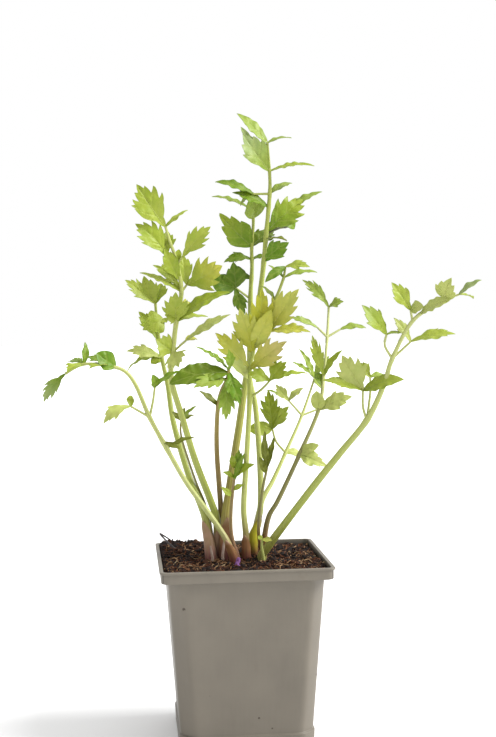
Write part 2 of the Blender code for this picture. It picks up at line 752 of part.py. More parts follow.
def soil_height(x, y):
    """The soil's surface: a mound behind on the left, a hollow behind on the right, and lumps."""
    reach = RIM_SIDE / 2
    across, back = x / reach, y / reach
    mound = 0.0034 * math.exp(-((across + 0.75) ** 2 + (back - 0.75) ** 2) / 0.35)
    hollow = -0.0010 * math.exp(-((across - 0.7) ** 2 + (back - 0.7) ** 2) / 0.5)
    crown = 0.0012 * math.exp(-(across ** 2 + back ** 2) / 0.12)
    lumps = SOIL_LUMP * noise.noise(Vector((x / 0.0075, y / 0.0075, SOIL_SEED)))
    return SOIL_LEVEL + mound + hollow + crown + lumps


def build_soil(collection, cutters, holes):
    """The potting soil: one body over the pot's inner ledge, with a plain hole for each stalk."""
    band_low = POT_HEIGHT - BAND_HEIGHT
    body_top = body_half(band_low) - WALL - 2 * GAP
    low = FLOOR + GAP
    ledge = band_low + LEDGE_RISE + 2 * GAP
    walls = (
        (body_half(low) - WALL - GAP, low, CORNER_CUT, CUT_ROUNDNESS),
        (body_top, band_low + LEDGE_LOW + GAP, CORNER_CUT, CUT_ROUNDNESS),
        (RIM_SIDE / 2 - LIP_PROUD - WALL - 2 * GAP, ledge, RIM_CORNER, 1.0),
    )
    rings = []
    for half, z, cut, round_share in walls:
        rings.append([(x, y, z) for x, y in square_ring(half, cut, round_share, 2, 4)])
    top_half = walls[-1][0]
    for step in range(SOIL_RINGS):
        scale = 1 - step / (SOIL_RINGS + 0.5)
        ring = square_ring(top_half * scale, RIM_CORNER * scale, 1.0, 2, 4)
        drop = SOIL_EDGE if step == 0 else 0.0
        rings.append([(x, y, max(ledge + SOIL_EDGE, soil_height(x, y) - drop)) for x, y in ring])
    soil = loft("soil", rings, collection)
    for place, radius in holes:
        bm = bmesh.new()
        wide = (radius + HOLE_GAP) * HEXAGON_SHARE
        bmesh.ops.create_cone(bm, cap_ends=True, segments=6, radius1=wide, radius2=wide, depth=2 * HOLE_DEPTH)
        hole = object_from(bm, "hole_cutter", cutters)
        hole.location = (place[0] * MM, place[1] * MM, SOIL_LEVEL)
    return cut_away(soil, cutters, "soil", (0.035, 0.020, 0.013), 0.9)


def main():
    clear_scene()
    parts = new_collection(NAME)
    drains = new_collection("drain_cutters")
    stalk_holes = new_collection("stalk_hole_cutters")
    holes = []
    for spec in FRONDS:
        holes.append((spec["root"], build_frond(spec, parts)))
    for name, (thick, points, colour) in DRY_BITS.items():
        holes.append(build_dry_bit(name, thick, points, colour, parts))
    build_pot(parts, drains)
    build_soil(parts, stalk_holes, holes)


main()
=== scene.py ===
"""Potted lovage: the looks of a young lovage plant in a square nursery pot.

Metres, +Z up. The origin is the middle of the pot's flat underside, and -Y faces the viewer.
Every frond is grown from the same table as its solid: a ribbed stalk, and veined, toothed leaflets.
"""

import json
import math
import random

import bmesh
import bpy
import numpy as np
from bpy.props import FloatProperty, FloatVectorProperty, IntProperty, PointerProperty
from mathutils import Euler, Matrix, Vector, noise
from mathutils.geometry import delaunay_2d_cdt

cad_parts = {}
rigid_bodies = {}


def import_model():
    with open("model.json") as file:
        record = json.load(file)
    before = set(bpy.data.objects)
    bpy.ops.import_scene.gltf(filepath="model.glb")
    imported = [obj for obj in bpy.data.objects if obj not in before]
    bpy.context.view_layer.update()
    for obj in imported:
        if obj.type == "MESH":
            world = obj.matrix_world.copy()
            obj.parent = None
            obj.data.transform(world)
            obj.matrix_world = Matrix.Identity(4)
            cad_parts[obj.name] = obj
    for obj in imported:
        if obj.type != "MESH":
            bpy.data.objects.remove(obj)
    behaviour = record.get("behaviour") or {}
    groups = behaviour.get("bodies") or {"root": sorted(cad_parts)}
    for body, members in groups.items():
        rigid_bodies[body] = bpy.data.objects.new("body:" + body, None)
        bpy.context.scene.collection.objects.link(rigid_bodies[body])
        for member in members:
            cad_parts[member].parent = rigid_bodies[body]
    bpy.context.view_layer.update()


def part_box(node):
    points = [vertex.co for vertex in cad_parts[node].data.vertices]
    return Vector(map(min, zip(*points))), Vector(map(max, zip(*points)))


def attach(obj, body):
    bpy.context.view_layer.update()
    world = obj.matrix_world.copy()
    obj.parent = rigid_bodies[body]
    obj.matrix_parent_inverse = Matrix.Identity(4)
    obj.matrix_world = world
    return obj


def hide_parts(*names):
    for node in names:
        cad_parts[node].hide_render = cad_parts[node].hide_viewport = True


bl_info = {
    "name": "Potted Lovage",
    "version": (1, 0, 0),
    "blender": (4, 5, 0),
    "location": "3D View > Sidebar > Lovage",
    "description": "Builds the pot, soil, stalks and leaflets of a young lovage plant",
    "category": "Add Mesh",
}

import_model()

MM = 0.001

# How many times its own colour a surface that faces the camera shows in the studio's light.
STUDIO_GAIN = 1.75

# What a surface's gloss adds to its own colour there.
GLOSS = 0.028
BODY = "root"

# The pot, as its solid has it.
POT_LOW, POT_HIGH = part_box("pot")
RIM_SIDE = POT_HIGH.x - POT_LOW.x
POT_HEIGHT = POT_HIGH.z
BODY_TOP_SIDE = 0.0816
BODY_FOOT_SIDE = 0.0697
FOOT_HEIGHT = 0.0088
FOOT_PROUD = 0.0008
BAND_HEIGHT = 0.0062
LEDGE_RISE = 0.0024
LIP_HEIGHT = 0.0012
LIP_PROUD = 0.0008
WALL = 0.0013
FLOOR = 0.0018
CORNER_CUT = 0.0072
CUT_ROUNDNESS = 0.15
RIM_CORNER = 0.0034
DRAIN_RADIUS = 0.0045
DRAIN_PLACE = 0.021
GAP = 0.0003

# The pot's corners on its body and on its rim, outside and in: how far in they start, and how round they are.
CUT = (CORNER_CUT, CUT_ROUNDNESS)
ROUND = (RIM_CORNER, 1.0)
INNER_CUT = (CORNER_CUT - 0.0005, CUT_ROUNDNESS)
INNER_ROUND = (RIM_CORNER - 0.0006, 1.0)

# How far its edges are eased, and the small steps of its profile.
EASE = 0.0004
BAND_EASE = 0.0007
LIP_EASE = 0.0006
LIP_SLOPE = 0.0001
LEDGE_LOW = 0.0010
FLOOR_INSET = 0.0040
# How far below the rim the painted shade on the pot's inner wall ends.
INNER_SHADE_BELOW_RIM = 0.0008
POT_SHARP_DEGREES = 38
POT_CORNER_STEPS = 10
POT_SIDE_STEPS = 30

# The soil's surface and the feet of the stalks.
SOIL_LEVEL = 0.0937
SOIL_LUMP = 0.0013
SOIL_SEED = 4.7
DEEPEST_SOIL = (0.008, 0.005, 0.004)
DEEPEST_CRUMB = (0.006, 0.004, 0.003)
ROOT_DEPTH = 0.0140
SHEATH_SWELL = 1.35
SIDE_STALK_THICKNESS = 1.25
SIDE_STALK_STEP = 0.0012
STALK_STEP = 0.0014
JOINT_REACH = 0.14
JOINT_SWELL = 0.16
FINE_LINES = 11

# Places on the plant are read off a board that stands upright through the pot's middle and faces this point:
# (across, up, depth) in mm, right of the middle, above the floor, and past the board along the sight line.
VIEWPOINT = Vector((-0.0605, -0.6690, 0.2215))
LEAN = 1.8

# The camera stands at that point too. Its angles are in radians, and its view is FRAME_TALL pixels tall.
CAMERA_YAW = 0.098
CAMERA_PITCH = -0.037
CAMERA_ROLL = -0.012
FOCAL_PIXELS = 1250
FRAME_TALL = 737
SENSOR = 36.0

# Half outlines of the leaflets, from base to tip: how far along, and how far out. Teeth point forward.
OUTLINES = {
    "lobed": (
        (0.20, 0.28), (0.42, 0.76), (0.60, 1.00), (0.55, 0.70), (0.80, 0.80), (0.70, 0.46), (0.90, 0.38),
        (0.86, 0.22),
    ),
    "wedge": ((0.24, 0.42), (0.46, 0.90), (0.66, 1.00), (0.62, 0.76), (0.84, 0.56), (0.80, 0.38)),
    "broad": ((0.16, 0.60), (0.36, 1.00), (0.56, 0.88), (0.54, 0.72), (0.78, 0.52), (0.75, 0.36)),
    "lance": ((0.24, 0.66), (0.50, 1.00), (0.76, 0.60)),
    "oval": ((0.20, 0.70), (0.48, 1.00), (0.78, 0.72)),
}
TURN_DEGREES = 26
BOW = {"lobed": 0.07, "wedge": 0.08, "broad": 0.09, "lance": 0.07, "oval": 0.09}
FOLD = 0.22
BLADE_BASE_HALF_WIDTH = 0.00045
LEAF_SHARP_DEGREES = 50

# The leaflets' fine form: teeth and steps along the margin, reach of veins and rim, lumps and waves.
TOOTH_STEP = 0.0065
MARGIN_STEP = 0.0004
TOOTH_HEIGHTS = (0.25, 0.45)
BRANCH_PLACES = (0.30, 0.52, 0.72)
BRANCH_DEGREES = 34
VEIN_REACH = 0.00017
RIM_REACH = 0.00055
LUMP_SIZE = 0.0034
WAVE_LENGTHS = (0.0042, 0.0068)
TWIST_DEGREES = 14
SWAY = 0.045
DROOP = (0.02, 0.16)
LIGHTNESS = (0.90, 1.08)
RIB_STEP = 0.0016
RIB_SINK = 0.00016


def srgb(red, green, blue):
    """The colour of a surface that looks like this on a screen, from 0 to 255, under the studio's light."""
    shares = (value / 255 for value in (red, green, blue))
    linear = (s / 12.92 if s <= 0.04045 else ((s + 0.055) / 1.055) ** 2.4 for s in shares)
    return tuple(max(0.25 * value, value - GLOSS) / STUDIO_GAIN for value in linear)


# Leaf and stalk colours by name.
TONES = {
    "mint": srgb(180, 196, 134),
    "sage": srgb(166, 186, 84),
    "grass": srgb(132, 162, 48),
    "spring": srgb(174, 190, 70),
    "lime": srgb(187, 200, 86),
    "cream": srgb(213, 219, 132),
    "vivid": srgb(122, 160, 42),
    "forest": srgb(116, 148, 50),
    "moss": srgb(118, 140, 34),
    "butter": srgb(222, 222, 116),
    "gold": srgb(200, 198, 70),
    "straw": srgb(214, 211, 94),
    "rose": srgb(224, 206, 132),
    "olive": srgb(128, 134, 54),
    "leaf_olive": srgb(156, 172, 44),
    "stalk_green": srgb(184, 196, 88),
    "stalk_pale": srgb(203, 211, 118),
    "stalk_light": srgb(215, 222, 142),
    "stalk_olive": srgb(170, 156, 72),
    "stalk_brown": srgb(156, 126, 80),
    "stalk_dark": srgb(136, 130, 74),
    "wine": srgb(142, 68, 84),
    "blush": srgb(164, 114, 88),
    "papery": srgb(194, 154, 132),
    "sheath_olive": srgb(204, 192, 62),
    "sheath_brown": srgb(124, 82, 52),
}


def leaf(at, tip, width, facing, tone, kind="wedge", bow=None):
    """A leaflet at a station of its stalk. facing 0 shows its edge to the viewer, and 90 its upper face."""
    return {"at": at, "tip": tip, "width": width, "facing": facing, "kind": kind, "bow": bow, "tone": tone}


def side(at, points, *growth):
    """A side stalk at a station of its parent. Depths of it and of leaf tips count from where they spring."""
    return {"at": at, "points": points, "growth": growth}


def frond(name, slot, root, points, thick, tones, *growth):
    """A leaf on its own stalk: root is its place in the soil, and tones colour the stalk's top and bottom."""
    return {
        "name": name, "slot": slot, "root": root, "points": points, "thick": thick, "tones": tones,
        "growth": growth,
    }


FRONDS = (
    frond(
        "frond_far_left", "leaf_green", (-4.5, -13.0),
        (
            (-7, 103, -14), (-12, 111.5, -14), (-18.5, 121, -15), (-29, 136, -17), (-39, 154, -20),
            (-48, 171, -22), (-55, 188, -24), (-61, 196, -25), (-70, 199, -26), (-83, 200, -27),
            (-93, 195, -28),
        ),
        (3.0, 1.3), ("stalk_pale", "stalk_light"),
        leaf(6, (-24, 160, 2), 2.8, 35, "olive", "lance"),
        leaf(6.2, (-32, 154, -3), 3.2, 40, "olive", "oval"),
        side(
            7, ((-53, 174, -2), (-58, 177, -4)),
            leaf(2, (-73, 168, -4), 8, 40, "cream", "wedge", 0.2),
            leaf(2, (-58, 183, 5), 4, 60, "spring", "oval"),
        ),
        side(
            7, ((-46, 180, 3), (-45, 187, 5)),
            leaf(2, (-46, 194, -5), 5, 78, "grass", "oval"),
            leaf(2, (-31, 196, 3), 5, 18, "grass", "lance"),
        ),
        leaf(9.6, (-76, 206, -5), 10, 60, "vivid", "oval"),
        leaf(10, (-81, 204, 8), 8, 20, "grass"),
        leaf(10, (-80, 198, -12), 9, 12, "spring"),
        leaf(11, (-82, 212, 3), 4, 60, "grass", "lance"),
        leaf(11, (-91, 202, 9), 7, 25, "grass"),
        leaf(11, (-92, 196, -10), 9, 30, "spring"),
        leaf(12, (-105, 180, -3), 8.5, 48, ("grass", "mint"), "lobed"),
    ),
    frond(
        "frond_left_back", "leaf_green", (-16.5, -4.5),
        (
            (-18, 112, -2), (-21, 123, -1), (-27, 138, 2), (-35, 167, 8), (-38, 188, 12), (-41, 203, 14),
            (-43, 218, 16), (-44, 232, 17),
        ),
        (3.8, 1.4), ("stalk_green", "stalk_green"),
        leaf(7, (-60, 207, -3), 9, 50, "cream", "wedge", 0.14),
        leaf(7, (-60, 196, 6), 4, 30, "spring", "lance", 0.18),
        leaf(7, (-47, 200, -4), 6, 45, "spring", "oval"),
        leaf(7.6, (-53, 228, 5), 9, 50, "spring"),
        side(
            8, ((-40, 224, -3),),
            leaf(1, (-51, 218, -5), 14, 74, "lime", "broad", 0.16),
            leaf(1, (-38, 222, -2), 7, 50, "lime"),
        ),
        leaf(9, (-60, 245, -4), 12, 50, "lime", "lobed"),
        leaf(9, (-50, 247, -2), 12, 62, "lime"),
        leaf(9, (-41, 243, 8), 11, 45, "spring"),
    ),
    frond(
        "frond_left_front", "leaf_pale", (-12.5, 2.5),
        (
            (-12.5, 114, 1.5), (-16, 126, 0), (-24, 148, -3), (-30, 169, -4), (-36, 191, -6), (-35, 206, -7),
            (-33, 222, -8), (-30, 238, -9), (-32, 253, -10), (-36, 266, -11), (-38, 273, -11),
        ),
        (3.8, 1.3), ("stalk_pale", "stalk_green"),
        leaf(7, (-32, 198, -8), 15, 85, "cream", "lobed"),
        leaf(7, (-44, 213, -6), 14, 72, "lime"),
        side(
            7, ((-28, 212, -2),),
            leaf(1, (-4, 226, -3), 7, 40, "cream"),
            leaf(1, (-22, 213, 6), 5, 30, "straw", "oval"),
        ),
        leaf(8, (-4, 238, -6), 9, 42, "spring", "lance"),
        leaf(8, (-16, 225, 7), 6, 12, "lime", "lance"),
        leaf(8, (-33, 238, -9), 15, 78, "lime", "lobed"),
        leaf(8.4, (-23, 230, 4), 10, 65, "gold"),
        leaf(8.2, (-39, 226, -4), 10, 70, "lime"),
        leaf(9.4, (-39, 262, -4), 9, 55, "spring"),
        side(
            9, ((-27, 242, 2),),
            leaf(1, (-8, 252, -4), 20, 74, ("spring", "straw"), "lobed"),
            leaf(1, (-29, 258, 3), 10, 62, "lime"),
        ),
        leaf(9, (-52, 249, -3), 6, 30, "lime", "lance"),
        leaf(9, (-45, 253, 5), 7, 45, "lime"),
        leaf(10, (-31, 261, 3), 4, 70, "spring", "oval"),
        side(10, ((-29, 257, -3),), leaf(1, (-14, 273, -2), 12, 68, "lime", "lobed")),
        side(
            10, ((-38, 258, -2),),
            leaf(1, (-54, 275, -4), 15, 52, "spring", "lobed"),
            leaf(1, (-37, 271, 4), 10, 62, "spring"),
        ),
        leaf(12, (-53, 296, -5), 17, 64, ("lime", "spring"), "lobed"),
        leaf(12, (-56, 285, 6), 10, 55, "lime"),
        leaf(12, (-26, 282, 4), 4, 30, "lime", "lance"),
    ),
    frond(
        "frond_left_young", "leaf_olive", (-14.0, 10.0),
        ((-16, 112, 7), (-19, 124, 7.5), (-24, 137, 7), (-31, 160, 5), (-31, 169, 5)),
        (1.5, 1.0), ("stalk_olive", "stalk_dark"),
        leaf(6, (-36, 174, -3), 3, 60, "olive", "lance"),
        leaf(6, (-29, 176, 3), 3, 50, "olive", "oval"),
        leaf(6, (-23, 177, -4), 3, 40, "sage", "lance"),
        leaf(6, (-24, 172, 3), 3, 30, "olive", "lance"),
    ),
    frond(
        "frond_dark_low", "leaf_dark", (-8.5, 7.5),
        (
            (-10, 115, 6), (-11, 133, 4), (-12, 150, 0), (-12, 164, -6), (-11, 177, -12), (-9, 185, -15),
            (-6, 191, -17), (-5, 196, -17),
        ),
        (2.9, 1.6), ("stalk_olive", "stalk_brown"),
        leaf(6, (-21, 185, -3), 4.5, 50, "olive", "lance"),
        leaf(8.6, (-37, 189, -6), 13, 52, "moss", "oval"),
        leaf(8, (-24, 187, -14), 12, 60, "sage", "lobed"),
        leaf(9, (-23, 209, 3), 3, 20, "grass", "lance"),
        leaf(8.75, (-15, 206, -6), 3.5, 25, "grass", "lance"),
        leaf(9, (-5, 207, -4), 5.5, 55, "grass"),
        leaf(8, (-7, 169, -7), 10, 88, ("grass", "sage"), "lobed", 0.12),
        leaf(8.7, (1, 177, -8), 8, 78, "vivid", "wedge", 0.14),
    ),
    frond(
        "frond_tallest", "leaf_green", (-7.5, -4.5),
        (
            (-8, 114, -3), (-5, 135, -1), (0, 165, 1), (4, 190, 2), (9, 212, 3), (11, 228, 3), (14, 250, 3),
            (16, 270, 3), (18, 290, 3), (18, 302, 3), (17, 317, 3),
        ),
        (4.2, 1.3), ("stalk_green", "stalk_olive"),
        leaf(8.2, (28, 264, -5), 11, 68, "vivid"),
        leaf(9, (36, 287, 5), 17, 68, ("grass", "spring"), "lobed"),
        side(
            9, ((25, 278, 4),),
            leaf(1, (46, 291, 5), 7, 20, "sage", "lance"),
            leaf(1, (31, 271, 2), 8, 55, "grass", "oval"),
        ),
        leaf(8.9, (31, 272, 12), 8, 14, "olive"),
        leaf(8.8, (27, 265, -7), 8, 14, "olive", "lance"),
        leaf(9.6, (-2, 291, -5), 9, 50, "grass"),
        side(
            10, ((9, 290, -3),),
            leaf(1, (-11, 297, -4), 8, 35, "grass", "lance"),
            leaf(1, (2, 284, 6), 6, 40, "sage", "lance"),
        ),
        leaf(10, (30, 296, 9), 7, 15, "sage", "lance"),
        leaf(11, (4, 322, -5), 15, 66, ("sage", "mint")),
        leaf(11, (3, 326, 6), 6, 40, "mint", "lance"),
        leaf(11, (42, 305, -4), 8, 26, "spring", "lance"),
        leaf(12, (1, 333, 2), 9, 38, "sage", "lance"),
        leaf(12, (30, 320, 5), 6, 20, "sage", "lance"),
    ),
    frond(
        "shoot_middle", "leaf_green", (-2.0, -8.5),
        ((-4, 103, -9), (-5, 113, -9), (-4, 128, -9), (-2, 143, -9)),
        (1.9, 1.1), ("stalk_green", "stalk_brown"),
        leaf(4, (-10, 133, -2), 3.6, 60, "lime", "lance"),
        leaf(4.5, (3, 151, -5), 3, 45, "grass", "lance"),
        leaf(4.2, (2, 134, -3), 3.6, 50, "lime", "lance"),
        leaf(4.6, (-9, 141, -3), 3.6, 50, "spring", "lance"),
        leaf(4.6, (8, 145, -7), 5, 50, "spring", "lance"),
        leaf(5, (0, 153, -1), 5, 60, "grass"),
        leaf(5, (-4, 150, -4), 4, 60, "spring", "oval"),
    ),
    frond(
        "frond_yellow", "leaf_yellow", (2.5, -5.0),
        (
            (3, 107, -5), (2, 122, -6), (4, 150, -8), (6, 181, -9), (6, 196, -9), (9, 210, -9),
            (12, 222, -10), (20, 233, -11), (25, 245, -11),
        ),
        (3.0, 1.4), ("stalk_green", "stalk_pale"),
        side(
            5, ((12, 185, -2), (17, 190, -4)),
            leaf(2, (26, 200, -3), 12, 72, "spring", "lobed"),
            leaf(2, (5, 194, -4), 9, 62, "spring"),
            leaf(2, (37, 194, 3), 5, 22, "spring", "lance"),
        ),
        leaf(5.6, (-8, 203, -9), 7, 60, "cream", "oval"),
        leaf(6, (-12, 216, -8), 14, 66, ("butter", "gold"), "lobed"),
        leaf(6, (26, 211, -10), 14, 68, ("straw", "rose"), "lobed"),
        leaf(6.6, (1, 229, -7), 15, 74, ("gold", "butter"), "lobed"),
        leaf(6.9, (13, 240, -9), 14, 72, "gold", "lobed"),
        leaf(6.8, (18, 228, -13), 9, 70, ("butter", "straw"), "oval"),
        side(
            7.15, ((16, 216, -3),),
            leaf(1, (33, 239, -7), 18, 78, ("straw", "butter"), "lobed"),
            leaf(1, (39, 216, -8), 9, 38, "straw"),
        ),
        leaf(9, (13, 241, 4), 3.5, 15, "sage", "lance"),
        side(
            10, ((26, 251, 0),),
            leaf(1, (39, 251, -4), 8, 45, "lime"),
            leaf(1, (15, 243, -5), 5, 68, "forest", "lance"),
        ),
        leaf(10, (43, 248, 4), 6, 18, "sage", "lance"),
        leaf(10, (17, 252, 3), 4, 20, "sage", "lance"),
    ),
    frond(
        "frond_middle_dark", "leaf_dark", (6.5, 2.0),
        (
            (7, 106, 2), (11, 121, 4), (11, 146, 6), (9, 176, 9), (6, 195, 11), (7, 234, 12), (8, 250, 12),
            (8, 262, 12), (9, 277, 12), (6, 283, 11),
        ),
        (3.4, 1.3), ("stalk_green", "stalk_pale"),
        side(
            7, ((-1, 240, -3),),
            leaf(1, (-14, 244, -3), 13, 78, "forest", "oval"),
            leaf(1, (-2, 254, -3), 13, 78, "forest", "broad"),
            leaf(1, (-11, 235, 7), 8, 45, "grass"),
            leaf(1, (4, 226, -1), 8, 70, "forest"),
        ),
        leaf(7.6, (-6, 248, 6), 9, 60, "forest"),
        leaf(8.4, (-7, 254, -3), 8, 38, "grass", "wedge", 0.16),
        leaf(8.4, (16, 257, 2), 5, 25, "grass", "lance"),
        leaf(9, (-9, 280, -3), 15, 72, ("grass", "spring"), "broad"),
        leaf(9, (20, 270, 9), 12, 55, "moss"),
        leaf(10, (8, 289, -7), 14, 66, "sage", "oval"),
        leaf(11, (-13, 289, 4), 6, 26, "sage", "lance"),
    ),
    frond(
        "frond_right_inner", "leaf_pale", (8.0, 8.5),
        ((8, 109, 9), (12, 125, 12), (18, 136, 16), (25, 151, 21), (34, 171, 28), (41, 191, 34)),
        (2.8, 1.1), ("stalk_light", "stalk_pale"),
        side(
            5, ((20, 157, -4), (18, 164, -6)),
            leaf(2, (16, 185, -3), 12, 78, "leaf_olive", "lobed"),
            leaf(2, (27, 176, -3), 9, 72, "lime"),
            leaf(2, (5, 164, -3), 9, 65, "lime", "oval"),
        ),
        leaf(5, (33, 151, 5), 6, 45, "cream", "oval"),
        side(
            6, ((27, 179, -3),),
            leaf(1, (20, 188, -2), 6, 55, "cream"),
            leaf(1, (35, 186, 3), 5, 45, "cream", "lance"),
            leaf(1, (15, 185, 5), 4.5, 20, "sage", "lance"),
        ),
        side(6, ((42, 174, 4),), leaf(1, (51, 178, 6), 8, 40, "cream")),
        leaf(7, (33, 207, -2), 3.5, 40, "sage", "lance"),
        leaf(7, (29, 200, 6), 3, 25, "sage", "lance"),
        leaf(7, (45, 185, -5), 5, 30, "sage", "lance"),
        leaf(7, (49, 203, 8), 6, 30, "sage", "lance"),
    ),
    frond(
        "frond_right_upright", "leaf_green", (12.5, 4.5),
        (
            (15, 115, 4), (21, 126, 4), (32.5, 150, 6), (43, 174, 9), (46, 192, 13), (48, 213, 18),
            (49, 229, 22),
        ),
        (2.5, 1.2), ("stalk_light", "stalk_dark"),
        leaf(4, (43, 155, -4), 6.5, 50, "cream", "oval"),
        leaf(4, (48, 143, -4), 9, 58, "cream", "broad"),
        leaf(5, (42, 184, -5), 8, 72, "cream", "oval"),
        leaf(5, (61, 181, -5), 11, 58, "cream"),
        leaf(6, (40, 214, -3), 7, 60, "lime", "lobed"),
        leaf(6, (56, 206, -4), 4.5, 35, "spring", "lance"),
        leaf(5.7, (42, 194, 6), 5, 40, "grass", "oval"),
        side(7, ((43, 218, -2),), leaf(1, (28, 224, -3), 5, 42, "sage")),
        side(7, ((55, 217, 3),), leaf(1, (69, 218, 3), 5, 32, "sage", "lance")),
        leaf(8, (35, 244, -2), 7, 48, "sage", "lobed"),
        leaf(8, (57, 232, -3), 8, 38, "sage"),
    ),
    frond(
        "frond_far_right", "leaf_green", (10.5, -7.5),
        (
            (15.5, 101, -8), (39.5, 132, -15), (54.2, 150, -20), (69, 168, -25), (78, 186, -28),
            (83, 201, -30), (94, 221, -32), (109, 231, -34), (119, 235, -35),
        ),
        (3.8, 0.9), ("stalk_light", "stalk_green"),
        side(
            5, ((67, 175, -2), (67, 184, -3)),
            leaf(2, (56, 203, -6), 17, 70, "cream", "lobed"),
            leaf(2, (45, 190, -9), 8, 42, "lime"),
            leaf(2, (89, 190, -7), 9, 48, ("spring", "lime"), "oval"),
        ),
        side(
            5, ((71, 183, 5), (71, 191, 8)),
            leaf(2, (79, 192, 4), 5, 28, "sage", "lance"),
            leaf(2, (64, 199, 6), 8, 50, "lime"),
        ),
        side(
            7, ((79, 208, -2), (80, 214, -3)),
            leaf(2, (67, 230, -4), 11, 60, ("spring", "sage")),
            leaf(2, (88, 215, 2), 3.5, 18, "sage", "lance"),
            leaf(2, (73, 222, 8), 6, 40, "spring"),
        ),
        side(
            7, ((93, 210, 2),),
            leaf(1, (117, 214, -3), 9, 38, "lime"),
            leaf(1, (84, 223, -2), 6, 45, "cream"),
        ),
        side(
            8, ((93, 227, 1),),
            leaf(1, (83, 242, -2), 9, 58, "lime"),
            leaf(1, (100, 229, -4), 7, 60, "cream", "oval"),
        ),
        leaf(8.3, (114, 232, -8), 8, 44, "cream", "oval"),
        leaf(9.2, (115, 244, -6), 12, 80, "cream", "broad"),
        leaf(10, (131, 243, -2), 5, 30, "mint", "lance"),
        leaf(10, (127, 233, 8), 5, 30, "lime", "lance"),
    ),
    frond(
        "frond_bud_leaf", "leaf_dark", (11.5, -0.5),
        ((10, 109, -3), (12, 129, -3), (15, 143, -3)),
        (1.6, 1.0), ("stalk_olive", "stalk_dark"),
        leaf(4, (14, 163, -3), 3.6, 60, "olive", "lance"),
        leaf(4, (19, 160, 5), 3.2, 45, "olive", "lance"),
        leaf(3.7, (11, 149, -2), 3.4, 55, "olive", "oval"),
    ),
    frond(
        "shoot_at_crown", "leaf_pale", (11.0, -13.5),
        ((11.5, 100, -13), (12, 104, -13)),
        (1.3, 1.0), ("stalk_pale", "stalk_pale"),
        leaf(3, (17, 103.5, -3), 3.4, 50, "butter", "lance"),
        leaf(3, (9.5, 106, 1), 3, 50, "lime", "lance"),
    ),
)

# Dry bits that stand in the soil: thickness, points in the pot's own mm, slot, share of thickness at the tip.
DRY_BITS = {
    "dry_twig": (
        1.0, ((-34, 16, 96.5), (-38.5, 22, 100), (-42.6, 27, 104), (-40, 28, 102.4), (-37.4, 29, 100.5)),
        "dry_twig", 0.75,
    ),
    "dry_stalk_left": (1.5, ((-16.0, -11.0, 97), (-17.0, -10.5, 103)), "dry_stalk", 0.7),
    "dry_stalk_right": (1.5, ((-10.5, -10.5, 98), (-9.5, -10.0, 105)), "dry_stalk", 0.7),
    "crown_bud": (3.6, ((-3.5, -22.0, 96), (-2.8, -22.0, 98.5)), "crown_bud", 0.4),
}
# Sheaths at the feet of the larger stalks: height in mm, which way the closed side faces in degrees from +X,
# and the tones of its foot, its middle and its tip.
SHEATHS = {
    "frond_far_left": (12, 262, "wine", "blush", "papery"),
    "frond_left_back": (20, 236, "wine", "papery", "papery"),
    "frond_left_front": (17, 292, "wine", "papery", "blush"),
    "frond_dark_low": (13, 270, "wine", "blush", "blush"),
    "frond_tallest": (22, 284, "wine", "blush", "papery"),
    "frond_yellow": (13, 250, "wine", "blush", "papery"),
    "frond_middle_dark": (22, 278, "wine", "sheath_olive", "sheath_brown"),
    "frond_right_inner": (15, 300, "wine", "sheath_olive", "sheath_brown"),
    "frond_right_upright": (12, 240, "wine", "blush", "sheath_brown"),
}
SHEATH_HALF_TURN = 128

# Between which heights a stalk turns from its lower to its upper tone, where its foot's flush ends, and where
# its darkening at the soil ends, which is painted shade between the stalks' feet together with dirt.
UPPER_TONE_RISE = (0.130, 0.215)
BLUSH_FADE = (0.098, 0.122)
WINE_FADE = (0.090, 0.108)
DIRT_AND_SHADE_FADE = (0.0935, 0.1010)
# How dark a stalk's foot is at the soil: painted shade between the feet, and dirt.
DARKEST_DIRT_AND_SHADE = 0.66

# How strongly the purple of the stalks' feet shows, where it isn't full.
FLUSH = {"frond_far_right": 0.25, "frond_far_left": 0.7, "shoot_at_crown": 0.0, "frond_right_inner": 0.75}

# Loose bits on the soil: thickness, shade, and places across and back in mm.
LOOSE_BITS = (
    (0.55, 0.95, ((28.4, -28.8), (31, -24.5), (34.5, -21), (36.5, -17.5), (35, -14.5), (32, -16))),
    (0.40, 1.00, ((-36.8, -12.6), (-35.6, -11), (-34.8, -10.2), (-34.6, -7.5))),
    (0.35, 0.96, ((-34.8, -10.2), (-33.4, -11.2), (-31.8, -12.8))),
    (0.60, 0.88, ((16, -27), (19, -26.2), (22, -26.8))),
    (0.50, 0.90, ((22.5, -20), (25, -18), (26.5, -15.5))),
    (0.45, 0.86, ((-27, -22), (-24, -23), (-21.5, -22.2))),
)
DRY_COLOURS = {
    "dry_twig": (srgb(58, 54, 54), srgb(104, 98, 98)),
    "dry_stalk": (srgb(168, 138, 122), srgb(222, 200, 184)),
    "crown_bud": (srgb(112, 58, 112), srgb(176, 124, 196)),
}


class Value:
    """An output socket. Arithmetic on it adds Math nodes."""

    def __init__(self, nodes, socket):
        self.nodes = nodes
        self.socket = socket

    def maths(self, operation, *values):
        return self.nodes.add("ShaderNodeMath", {"operation": operation}, dict(enumerate(values or (self,))))

    def __add__(self, other):
        return self.maths("ADD", self, other)

    def __radd__(self, other):
        return self.maths("ADD", other, self)

    def __sub__(self, other):
        return self.maths("SUBTRACT", self, other)

    def __rsub__(self, other):
        return self.maths("SUBTRACT", other, self)

    def __mul__(self, other):
        return self.maths("MULTIPLY", self, other)

    def __rmul__(self, other):
        return self.maths("MULTIPLY", other, self)

    def __lt__(self, other):
        return self.maths("LESS_THAN", self, other)

    def __gt__(self, other):
        return self.maths("GREATER_THAN", self, other)

    def clamp(self):
        """This value held between 0 and 1."""
        return self.nodes.add("ShaderNodeMath", {"operation": "ADD", "use_clamp": True}, {0: self, 1: 0.0})

    def wave(self, shape, turns):
        """The sine or cosine of this value taken as turns."""
        return (self * (2 * math.pi * turns)).maths(shape)


